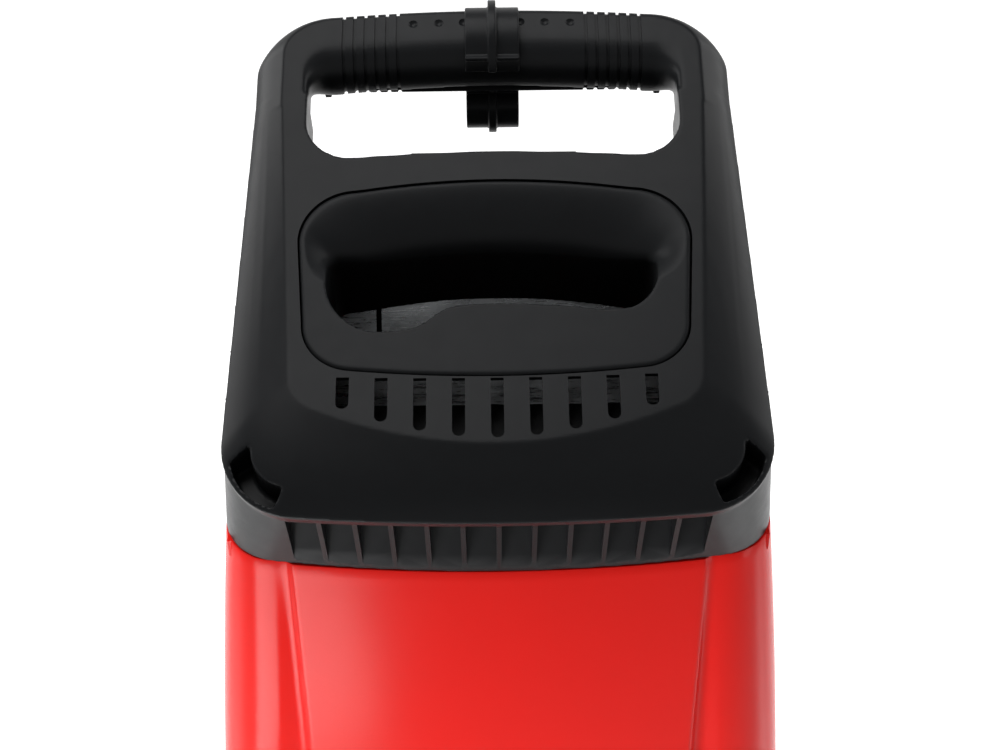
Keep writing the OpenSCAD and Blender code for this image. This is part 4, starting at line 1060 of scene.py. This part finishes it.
    def guide(self, line: tuple[float, float, float, float]) -> Ring:
        """Right half of a line of the handle frame, from the joint with the hood to the middle of the bar."""
        x, w, t, v = line
        f = (x - self.grip_half) / 30
        ax, at = mix(13, 46, f), mix(11, 33, f)
        end = t - self.bow(x - ax)
        start = self.joint_t - 8
        points = [SLOPE.point(x, mix(start, end - at, i / 8), w) for i in range(8)]
        for i in range(32):
            a = math.radians(90 * i / 32)
            k = (i / 32) ** 2 * (3 - 2 * i / 32)
            points.append(SLOPE.point(x - ax + ax * math.cos(a), end - at + at * math.sin(a), mix(w, v, k)))
        for i in range(33):
            across_x = (x - ax) * (1 - i / 32)
            points.append(SLOPE.point(across_x, t - self.bow(across_x), v))
        return points

    def handle(self) -> Mesh:
        """Arms and grip bar in one sweep round the opening."""
        guides = [self.guide(line) for line in self.frame_lines()]
        right = [[g[i] for g in guides] for i in range(len(guides[0]))]
        left = [[(-x, y, z) for x, y, z in ring] for ring in right[:-1]]
        return Bench.loft("handle", [*left, *reversed(right)])

    def bar_section(self, x: float, grow: float) -> list[Pair]:
        """Section of the bar at one X, as T and W."""
        outline = [(t - self.bow(x), w) for _, _, t, w in self.frame_lines()]
        return grown(outline, -grow)

    def groove(self, x: float) -> Mesh:
        """Finger groove over the front and top of the bar."""
        outer, inner = self.bar_section(x, 3.0)[3:36], self.bar_section(x, -1.5)[3:36]
        outline, half = [*outer, *reversed(inner)], self.groove_half
        return Bench.loft("tool", [[SLOPE.point(x + d, t, w) for t, w in outline] for d in (-half, half)])

    def dimple(self, x: float) -> Mesh:
        """Ball that leaves a dimple in the bar's top."""
        return Bench.ball(SLOPE.point(x, self.bar_t + 6 - self.bow(x), 2.2), 3.4)

    def channel(self) -> Mesh:
        """Hollow along the bar's underside, which the lower strip closes."""
        mid = (self.bar_t - 2, -19.0)
        outline = [*arc(mid, 30, 228 - SLOPE.tilt, 312 - SLOPE.tilt, 24), *arc(mid, 14.5, 330, 190, 40)]
        return Bench.loft("tool", [[SLOPE.point(x, t, w) for t, w in outline] for x in (-95, 95)])

    def make(self) -> None:
        """Builds the hood and dresses it."""
        body = self.solid()
        whole = Bench.twin(body, "whole")
        Bench.combine(body, [self.inside()], Joinery.AWAY)
        opening = plan(self.grip_half, self.grip_half, self.grip_t, -3, 24, 300, 0.01, 2)
        Bench.combine(body, [self.slope_prism(opening, -self.frame_depth - 20, 40)], Joinery.AWAY)
        Bench.combine(body, [self.handle()], Joinery.ONTO)
        Bench.combine(body, [self.channel()], Joinery.AWAY)
        Bench.combine(body, [self.arm_hollow(s) for s in SIDES], Joinery.AWAY)
        cups = [self.pocket(s, self.pocket_wall, self.pocket_depth + self.pocket_floor) for s in SIDES]
        posts = [Bench.rod((POST_X * s, POST_Y, 762.15), (POST_X * s, POST_Y, 960), 6.5) for s in SIDES]
        lining = Bench.combine(cups[0], [cups[1], *posts], Joinery.ONTO)
        Bench.combine(lining, [whole], Joinery.WITHIN)
        Bench.combine(body, [lining], Joinery.ONTO)
        Bench.combine(body, [self.pocket(s, 0, self.pocket_depth) for s in SIDES], Joinery.AWAY)
        Bench.soften(body, 1.05, 3, ALL)
        cuts = [
            [self.slope_prism(FeedPanel().outline(self.panel_gap), -10, 20)],
            [self.vent(self.vent_pitch * i) for i in range(-4, 5)],
            [self.rib_pocket(self.rib_pitch * (i + 0.5)) for i in range(-6, 6)],
            [self.groove(s * (self.groove_start + self.groove_pitch * k)) for s in SIDES for k in range(6)],
            [self.dimple(s * x) for s in SIDES for x in (15.5, 29, 43)],
            [Bench.rod((POST_X * s, POST_Y, 761), (POST_X * s, POST_Y, 788), 2.1, 24) for s in SIDES],
        ]
        for tools in cuts:
            Bench.combine(body, tools, Joinery.AWAY)
        Bench.thin(body, 190000)
        Bench.crisp(body, SHARP)
        dress(body, BLACK, Body.HOPPER, "hood")


@dataclass
class FeedPanel:
    """Inset panel with its flat tongue, the dish behind it and the feed slot."""

    front_half: float = 97.5
    rear_half: float = 101.0
    length: float = 114.5
    thick: float = 3.0
    dish: float = 20.0
    funnel: float = 70.0
    lobe: float = 11.5

    def outline(self, grow: float) -> list[Pair]:
        """Outline of the panel, grown by a gap."""
        wf, wr, rear = self.front_half + grow, self.rear_half + grow, self.length - 6 + grow
        return plan(wf, wr, -grow, 4, 26 + grow, rear, 6, 30 + grow)

    def slot_front(self, x: float) -> float:
        """Front edge of the slot, with the deeper lobe on the left."""
        return 40.8 - 0.0014 * x * x - self.lobe / (1 + math.exp((x + 32) / 3.5))

    def slot(self) -> list[Pair]:
        """Outline of the feed slot."""
        points = arc((-56, 55), 30.5, 180, 256, 24)
        points += [(x, self.slot_front(x)) for x in (-55 + 111.8 * i / 52 for i in range(53))]
        points += arc((58.5, 60), 24.5, 292, 355, 20)
        points += arc((75.5, 66), 8, 10, 75, 12)
        points += [(x, 82.7 - 0.0015 * x * x) for x in (69 - 140 * i / 40 for i in range(41))]
        points += arc((-78, 66), 8.6, 105, 170, 12)
        closed = relaxed([*points, points[0]], 2)
        return closed[:-1]

    @staticmethod
    def fall(x: float, t: float) -> float:
        """Share of the dish's depth at the slot's edge: 0 at the tongue and the ends, 1 at the rear."""
        k = min(1.0, max(0.0, (t - 46 - 7 * (x / 84) ** 2) / 34))
        return k * k * (3 - 2 * k)

    def rim(self, slot: Sequence[Pair]) -> list[Pair]:
        """Upper edge of the dish, which reaches the panel's rear and sides."""
        border = self.outline(-1.6)
        points = []
        for x, t in slot:
            heart = Vector((0.78 * x, min(62.0, t + 1.0)))
            way = (Vector((x, t)) - heart).normalized()
            reach = math.dist((x, t), heart)
            for (x0, t0), (x1, t1) in zip(border, [*border[1:], border[0]]):
                side = Vector((x1 - x0, t1 - t0))
                gap = Vector((x0, t0)) - heart
                turn = way.cross(side)
                if abs(turn) > 1e-9 and 0 <= gap.cross(way) / turn <= 1 and gap.cross(side) / turn > 0:
                    reach = gap.cross(side) / turn
            far = heart + way * reach
            k = min(1.0, max(0.0, (t - 42) / 16))
            points.append((mix(x, far.x, k), mix(t, far.y, k)))
        closed = relaxed([*points, points[0]], 6)
        return closed[:-1]

    def dish_ring(self, slot: Sequence[Pair], rim: Sequence[Pair], b: float) -> Ring:
        """Ring of the dish between the slot's edge (0) and its upper edge (1)."""
        depth = (self.dish - 4) * (1 - b) ** 1.4 + 6 * math.exp(-9 * b)
        ring = []
        for (x, t), edge in zip(between(slot, rim, b), slot):
            k = self.fall(*edge)
            ring.append(SLOPE.point(x, t, 0.6 * b * (1 - k) - depth * k))
        return ring

    def make(self) -> None:
        """Builds the panel and dresses it."""
        hood = Hood()
        slot = self.slot()
        rim = self.rim(slot)
        edges = ((0, -self.thick), (0, -1.7), (-0.25, -1.0), (-0.8, -0.4), (-1.5, -0.08), (-2.2, 0))
        piece = Bench.loft("feed_panel_moulding", [SLOPE.ring(self.outline(g), w) for g, w in edges])
        bowl = Bench.loft(
            "bowl", [SLOPE.ring(grown(slot, 3), -self.dish - 5), SLOPE.ring(grown(rim, 0.8), -1.8)]
        )
        walls = hood.slope_prism(grown(slot, 2.8), -self.funnel, -self.dish + 1)
        front = [(-150.0, -50.0), (150.0, -50.0), (150.0, 52.0), (-150.0, 52.0)]
        Bench.combine(walls, [hood.slope_prism(front, -self.funnel - 1, -self.dish - 1)], Joinery.AWAY)
        Bench.combine(piece, [bowl, walls], Joinery.ONTO)
        rings = [SLOPE.ring(slot, -self.dish - 6)]
        rings += [self.dish_ring(slot, rim, (i / 32) ** 1.5) for i in range(33)]
        rings.append(SLOPE.ring(grown(rim, 0.02), 3))
        Bench.combine(piece, [Bench.loft("dish", rings)], Joinery.AWAY)
        Bench.combine(piece, [hood.slope_prism(slot, -self.funnel - 5, -self.dish + 2)], Joinery.AWAY)
        Bench.soften(piece, 0.7, 4, ALL)
        Bench.thin(piece, 150000)
        Bench.crisp(piece, 50)
        dress(piece, PANEL_BLACK, Body.HOPPER, "feed_panel")


@dataclass
class GripFittings:
    """Lower shell of the grip and the double clip that holds a rod on it."""

    voxel: float = 0.45

    def make(self) -> None:
        """Builds both fittings and dresses them."""
        strip = Bench.from_node("handle_lower_shell", "grip_lower_strip")
        strip.location = Vector((0.0, -1.5, -4.3)) * MM
        Bench.only(strip)
        Bench.settled()
        Bench.soften(strip, self.voxel, 2, 40000)
        dress(strip, DARK, Body.HOPPER, "handle_lower_shell")
        moulded("handle_clip", BLACK, Body.HOPPER, self.voxel, 3, 60000, "rod_clip_moulding")


@dataclass
class TowerShells:
    """Red front shell with its raised panel and flutes, and the black rear shell."""

    steps: int = 44
    knuckle_half: float = 9.0
    pin_r: float = 3.15
    screw_r: float = 2.2
    screw_x: float = 85.0
    screw_z: float = 744.0

    def wall_form(self, name: str, line: Callable[[float, float], list[Pair]]) -> Mesh:
        """Open shell between its outer and its inner face.

        Args:
            name: the object's name.
            line: outline of the shell for a height and an inset.

        Returns:
            The new object.
        """
        count = len(line(TOWER.low_z, 0.0))
        rings = []
        for i in range(self.steps + 1):
            z = mix(TOWER.low_z + 0.5, TOWER.top_z - 0.15, i / self.steps)
            outside = self.evened(line(z, 0.0), count)
            inside = self.evened(line(z, TOWER.wall), count)
            rings.append(level(outside, z) + level(list(reversed(inside)), z))
        return Bench.loft(name, rings)

    @staticmethod
    def evened(line: Sequence[Pair], count: int) -> list[Pair]:
        """Line with a given number of points."""
        length = sum(math.dist(p, q) for p, q in zip(line, line[1:]))
        return resampled(line, length / (count - 1))

    def front(self) -> None:
        """Builds the front shell and dresses it."""
        piece = self.wall_form("front_shell_moulding", TOWER.front_line)
        Bench.ease(piece, 0.7, flat=0.01)
        y, z, edge = HINGE_Y, TOWER.low_z, TOWER.top_half - 1.7
        adds = []
        for s in SIDES:
            x, post, k = s * HINGE_X, s * POST_X, self.knuckle_half
            inner, outer = sorted((post, s * edge))
            adds.append(Bench.rod((x - k, y, z), (x + k, y, z), HINGE_R))
            adds.append(Bench.block((x - k, y, z + 0.8), (x + k, y + HINGE_R + 8, z + 14)))
            adds.append(Bench.rod((post, POST_Y, 749.85), (post, POST_Y, 761.85), 7))
            adds.append(Bench.block((inner, POST_Y - 3, 750), (outer, POST_Y + 3, 761.8)))
        Bench.combine(piece, adds, Joinery.ONTO)
        holes = [Bench.rod((x - 20, y, z), (x + 20, y, z), self.pin_r, 48) for x in (-HINGE_X, HINGE_X)]
        holes += [Bench.rod((x, POST_Y, 731), (x, POST_Y, 791), self.screw_r, 24) for x in (-POST_X, POST_X)]
        Bench.combine(piece, holes, Joinery.AWAY)
        Bench.crisp(piece, 30)
        dress(piece, RED, Body.HOPPER, "front_shell")

    def rear(self) -> None:
        """Builds the rear shell and dresses it."""
        piece = self.wall_form("rear_shell_moulding", TOWER.rear_line)
        x, z = self.screw_x, self.screw_z
        holes = [Bench.rod((x * s, 70, z), (x * s, 130, z), self.screw_r, 24) for s in SIDES]
        Bench.combine(piece, holes, Joinery.AWAY)
        Bench.soften(piece, 1.5, 2, 90000)
        dress(piece, BLACK, Body.HOPPER, "rear_shell")

    def make(self) -> None:
        """Builds both shells and the bracket of the lock, and dresses them."""
        eased("lock_bracket", "lock_bracket_fork", ZINC, Body.HOPPER, 0.7)
        self.front()
        self.rear()


@dataclass
class Base:
    """Housing of the cutting unit with its turret, sockets, hinge and discharge chute."""

    top_z: float = 429.5
    bottom_z: float = 300.0
    wall: float = 3.5
    rotor_y: float = 7.0
    turret_x: float = 198.5
    turret_z: float = 322.0
    turret_h: float = 90.0
    turret_half: float = 48.0
    tube_r: float = 12.5
    socket_wall: float = 5.0
    post_x: float = 120.0
    post_gap: float = 68.0
    pin_r: float = 3.05
    shaft_hole: float = 62.0
    latch_half: float = 13.0

    def outline(self, z: float, wall: float) -> list[Pair]:
        """Outline of the housing at a height, inset by a wall."""
        e = ((self.top_z - z) / (self.top_z - self.bottom_z)) ** 2
        h, rear = TOWER.low_half - 14 * e - wall, TOWER.low_rear - 12 * e - wall
        return plan(h, h, 9 * e + wall - TOWER.low_front, 9, 32 - wall, rear, 0.01, 35 - wall)

    def solid(self) -> Mesh:
        """Outer form of the housing."""
        rings = [
            level(self.outline(self.bottom_z, 4), self.bottom_z),
            level(self.outline(self.bottom_z, 1.2), self.bottom_z + 1.2),
            level(self.outline(self.bottom_z + 4, 0), self.bottom_z + 4),
        ]
        for i in range(1, 17):
            z = mix(self.bottom_z + 4, self.top_z, i / 16)
            rings.append(level(self.outline(z, 0), z))
        return Bench.loft("base_housing_moulding", rings)

    @staticmethod
    def leg(side: int, front: bool) -> tuple[Vector, Vector]:
        """Top and direction of a leg."""
        top = Vector((130 * side, -62 if front else 70, 299))
        low = Vector((180 * side, -193, 16)) if front else Vector((168 * side, 140, 75))
        return top, (low - top).normalized()

    def leg_rod(self, side: int, front: bool, start: float, end: float, radius: float) -> Mesh:
        """Round bar along a leg."""
        top, way = self.leg(side, front)
        return Bench.rod(tuple(top + way * start), tuple(top + way * end), radius)

    def knuckle(self, x0: float, x1: float) -> list[Mesh]:
        """Hinge knuckle of the base with its web."""
        y, z = HINGE_Y, TOWER.low_z
        barrel = Bench.rod((x0, y, z), (x1, y, z), HINGE_R)
        return [barrel, Bench.block((x0, y, z - 14), (x1, y + 15, z - 0.8))]

    def housing(self) -> None:
        """Builds the housing and dresses it."""
        piece = self.solid()
        hollow = []
        for i in range(17):
            z = mix(self.bottom_z + 4, self.top_z, i / 16)
            hollow.append(level(self.outline(z, self.wall), z))
        hollow.append(level(self.outline(self.top_z, self.wall), self.top_z + 1))
        Bench.combine(piece, [Bench.loft("hollow", hollow)], Joinery.AWAY)
        tz, tx, th = self.turret_z, self.turret_x, self.turret_half
        adds = [Bench.block((tx - 36, -th, tz), (tx, th, tz + self.turret_h))]
        for s in SIDES:
            for d in SIDES:
                x, y = self.post_x * s, self.rotor_y + self.post_gap * d
                adds.append(Bench.rod((x, y, 302), (x, y, 423.7), 7))
            for front in (True, False):
                socket = self.leg_rod(s, front, -20, 52, self.tube_r + self.socket_wall)
                adds.append(Bench.trim(socket, (0, 0, self.bottom_z + 3), (0, 0, -1)))
            x = HINGE_X * s
            adds += [*self.knuckle(x - 22, x - 9.3), *self.knuckle(x + 9.3, x + 22)]
        rear, latch, hinges = TOWER.low_rear, self.latch_half, (-HINGE_X, HINGE_X)
        adds.append(Bench.block((-latch, rear - 2.5, 396), (latch, rear + 6, self.top_z)))
        adds.append(Bench.block((-latch, rear + 0.8, 420), (latch, rear + 6, 442)))
        Bench.combine(piece, adds, Joinery.ONTO)
        z = TOWER.low_z
        cuts = [
            [Bench.rod((0, self.rotor_y, 299), (0, self.rotor_y, 307), self.shaft_hole, 96)],
            [Bench.block((-60, -130, 334), (60, -70, 416))],
            [Bench.block((tx - 60, 3 - th, tz + 3), (tx + 10, th - 3, tz + self.turret_h - 3))],
            [Bench.block((tx - 22, th - 10, tz + 30), (tx - 3, th + 10, tz + 60))],
            [self.leg_rod(s, f, -1, 60, self.tube_r + 0.15) for s in SIDES for f in (True, False)],
            [Bench.rod((x - 30, HINGE_Y, z), (x + 30, HINGE_Y, z), self.pin_r, 48) for x in hinges],
            [Bench.rod((0, rear - 30, z), (0, rear + 30, z), 4.15, 48)],
        ]
        for tools in cuts:
            Bench.combine(piece, tools, Joinery.AWAY)
        Bench.soften(piece, 1.5, 2, 130000)
        dress(piece, BLACK, Body.BASE, "base_housing")

    def make(self) -> None:
        """Builds the housing and its fittings and dresses them."""
        moulded("discharge_chute", DARK, Body.BASE, 1.2, 2, 70000)
        moulded("motor_cover", DARK, Body.BASE, 1.2, 2, 90000)
        self.housing()


@dataclass
class Stand:
    """Tube legs with their feet, and the two wheels on their axle."""

    track: float = 410.0
    axle_y: float = 140.0
    axle_z: float = 75.0
    radius: float = 75.0
    width: float = 38.0
    lugs: int = 30
    lug_depth: float = 2.0
    lug_gap: float = 0.3

    def tyre(self, side: int, body: Body) -> None:
        """Tyre with a groove around it and lugs on both shoulders.

        Args:
            side: -1 for the left wheel and 1 for the right one.
            body: the wheel's body.
        """
        name = "left" if side < 0 else "right"
        x0 = side * self.track / 2 - self.width / 2
        y0, z0 = self.axle_y, self.axle_z
        r, w, n = self.radius, self.width, self.lugs * 12
        profile = [(0.5, r - 11.9), (0.5, r - 6), (1.2, r - 4.4), (2.4, r - 2.9), (4, r - 1.6), (6, r - 0.7)]
        profile += [(8, r - 0.2), (9, r), (12, r), (15.4, r), (16, r - 2.2), (w / 2, r - 2.4)]
        profile += [(w - x, q) for x, q in reversed(profile[:-1])]
        rings = []
        for x, q in profile:
            shoulder = 2.0 < x < 12.5 or w - 12.5 < x < w - 2.0
            phase = 0.5 if x > w / 2 else 0.0
            ring = []
            for i in range(n):
                turn = (i / n * self.lugs + phase) % 1.0
                notch = self.lug_depth if shoulder and turn < self.lug_gap and q > r - 4 else 0.0
                a = 2 * math.pi * i / n
                ring.append((x0 + x, y0 + (q - notch) * math.cos(a), z0 + (q - notch) * math.sin(a)))
            rings.append(ring)
        piece = Bench.loft(f"tyre_{name}_moulding", rings)
        bore = Bench.rod((x0 - 5, y0, z0), (x0 + w + 5, y0, z0), r - 11.95, 120)
        Bench.combine(piece, [bore], Joinery.AWAY)
        Bench.ease(piece, 0.5)
        dress(piece, RUBBER, body, f"tyre_{name}")

    def make(self) -> None:
        """Builds the stand's pieces and dresses them."""
        for side, name, body in ((-1, "left", Body.WHEEL_LEFT), (1, "right", Body.WHEEL_RIGHT)):
            self.tyre(side, body)
            moulded(f"wheel_rim_{name}", DARK, body, 1.0, 2, 70000)
            moulded(f"axle_block_{name}", DARK, Body.BASE, 0.7, 3, 40000)
            moulded(f"front_foot_{name}", RUBBER, Body.BASE, 0.7, 3, 40000)
            for node in (f"front_leg_{name}", f"rear_leg_{name}"):
                eased(node, f"{node}_tube", PAINT, Body.BASE, 0.4)
        eased("front_brace", "front_brace_tube", PAINT, Body.BASE, 0.4)
        eased("axle", "axle_rod", STEEL_X, Body.BASE, 0.8)
        moulded("axle_caps", DARK, Body.BASE, 0.4, 3, 40000, "axle_push_caps")


@dataclass
class Controls:
    """Switch plate with its buttons, the mains inlet and the lock knob."""

    voxel: float = 0.45

    def make(self) -> None:
        """Builds the controls and dresses them."""
        rows = [
            ("switch_plate", DARK, Body.BASE),
            ("power_inlet", DARK, Body.BASE),
            ("on_button", GREEN, Body.ON_BUTTON),
            ("off_button", RED_BUTTON, Body.OFF_BUTTON),
            ("reset_button", DARK, Body.RESET_BUTTON),
            ("lock_knob", DARK, Body.LOCK_KNOB),
        ]
        for node, finish, body in rows:
            moulded(node, finish, body, self.voxel, 3, 40000)


@dataclass
class Works:
    """Parts of the drive and small metal parts, which keep their CAD solids."""

    def make(self) -> None:
        """Dresses the CAD nodes that stay in view."""
        rows: dict[Finish, str] = {
            ZINC: "deflector_plate hood_screws shell_screws base_screws leg_screws",
            STEEL: "counter_knife knife_left knife_right knife_screws disc_bolt cutting_disc disc_hub "
            "motor_shaft bearings motor_stator armature",
            STEEL_X: "hinge_pins",
            ALUMINIUM: "motor_bracket",
            COPPER: "field_windings commutator",
            BRASS: "inlet_pins brush_holders",
            DARK: "vent_baffle feed_chute hopper_floor cutting_chamber switch_module interlock_switch "
            "cooling_fan",
        }
        for finish, nodes in rows.items():
            for node in nodes.split():
                dress_node(node, finish)


@dataclass
class Studio:
    """Pale floor, soft lights and the camera at the photograph's view."""

    target: Point = (0.0, -35.0, 860.0)
    eye: Point = (-3.5, -703.8, 1462.2)
    roll: float = -0.55
    lens: float = 65.52
    floor_glow: float = 0.62
    ambient: float = 0.14

    def floor(self) -> None:
        """Adds the floor, which shows nearly white and keeps the shadow."""
        Bench.clear()
        bpy.ops.mesh.primitive_plane_add(size=30.0, location=(0.0, 0.0, 0.0))
        ground = bpy.context.object
        ground.name = "studio_floor"
        sheet = NodeSheet("pale_floor")
        sheet.shader.inputs["Base Color"].default_value = (0.8, 0.8, 0.8, 1.0)
        sheet.set(Roughness=0.9)
        path = sheet.add("ShaderNodeLightPath")
        veil = sheet.add("ShaderNodeMixShader")
        seen = sheet.maths("MAXIMUM", path.outputs["Is Camera Ray"], path.outputs["Is Glossy Ray"])
        sheet.link(seen, veil.inputs["Fac"])
        for i, strength in ((1, 0.0), (2, self.floor_glow)):
            glow = sheet.add("ShaderNodeEmission")
            glow.inputs["Strength"].default_value = strength
            sheet.link(glow.outputs["Emission"], veil.inputs[i])
        total = sheet.add("ShaderNodeAddShader")
        sheet.link(sheet.shader.outputs["BSDF"], total.inputs[0])
        sheet.link(veil.outputs["Shader"], total.inputs[1])
        sheet.link(total.outputs["Shader"], sheet.tree.nodes["Material Output"].inputs["Surface"])
        ground.data.materials.append(sheet.material)

    def sky(self) -> None:
        """Sets a world that shows white and lights the object softly."""
        world = bpy.data.worlds.new("studio_world")
        world.use_nodes = True
        bpy.context.scene.world = world
        wiring = Wiring(world.node_tree)
        path = wiring.add("ShaderNodeLightPath")
        seen = wiring.maths("MAXIMUM", path.outputs["Is Camera Ray"], path.outputs["Is Transmission Ray"])
        shown = wiring.maths("MAXIMUM", seen, path.outputs["Is Glossy Ray"])
        place = wiring.add("ShaderNodeTexCoord")
        split = wiring.add("ShaderNodeSeparateXYZ")
        wiring.link(place.outputs["Generated"], split.inputs["Vector"])
        wall = wiring.span(split.outputs["Z"], 1.0, 0.0, 0.3, 0.65)
        part = wiring.maths("MULTIPLY", shown, wall)
        ground = world.node_tree.nodes["Background"]
        ground.inputs["Color"].default_value = (1.0, 1.0, 1.0, 1.0)
        wiring.link(wiring.span(part, self.ambient, 1.0, 0.0, 1.0), ground.inputs["Strength"])

    def lamp(self, name: str, place: Point, goal: Point, size: Pair, power: float) -> None:
        """Adds a soft box.

        Args:
            name: the lamp's name.
            place: where it stands.
            goal: what it faces.
            size: its width and height.
            power: its strength in watts.
        """
        data = bpy.data.lights.new(name, "AREA")
        data.shape = "RECTANGLE"
        data.size, data.size_y = size[0] * MM, size[1] * MM
        data.energy = power
        lamp = bpy.data.objects.new(name, data)
        bpy.context.scene.collection.objects.link(lamp)
        lamp.location = Vector(place) * MM
        aim = Vector(goal) * MM - lamp.location
        lamp.rotation_euler = aim.to_track_quat("-Z", "Y").to_euler()
        lamp.visible_camera = False

    def camera(self) -> None:
        """Adds the camera."""
        data = bpy.data.cameras.new("view")
        data.lens = self.lens
        data.sensor_width = 36.0
        data.shift_x = 0.003
        data.clip_start, data.clip_end = 0.01, 100.0
        camera = bpy.data.objects.new("view", data)
        bpy.context.scene.collection.objects.link(camera)
        camera.location = Vector(self.eye) * MM
        aim = (Vector(self.target) - Vector(self.eye)) * MM
        turn = Quaternion((0.0, 0.0, 1.0), math.radians(self.roll))
        camera.rotation_euler = (aim.to_track_quat("-Z", "Y") @ turn).to_euler()
        bpy.context.scene.camera = camera

    def make(self) -> None:
        """Sets the whole stage."""
        self.floor()
        self.sky()
        lamps = (
            ("top", (-350, 350, 2500), (0, 40, 800), (1800, 1200), 38.0),
            ("rim_left", (-1500, 850, 1350), (-100, 0, 850), (1200, 1200), 19.0),
            ("rim_right", (1500, 850, 1350), (100, 0, 850), (1200, 1200), 13.0),
            ("key_left", (-440, -600, 240), (-60, -90, 660), (440, 420), 7.0),
            ("fill_right", (900, -560, 500), (120, -60, 660), (300, 600), 2.2),
            ("strip_left", (-480, -60, 300), (-140, -60, 680), (120, 480), 0.12),
            ("strip_right", (480, -60, 300), (140, -60, 680), (120, 480), 0.2),
        )
        for lamp in lamps:
            self.lamp(*lamp)
        self.camera()
        bpy.context.scene.view_settings.view_transform = "Standard"


def main() -> None:
    """Builds the sub-assemblies in order and sets the stage."""
    Studio().make()
    for part in (Hood(), FeedPanel(), GripFittings(), TowerShells(), Base(), Stand(), Controls(), Works()):
        log.info("building %s", type(part).__name__)
        part.make()


if __name__ == "__main__":
    main()
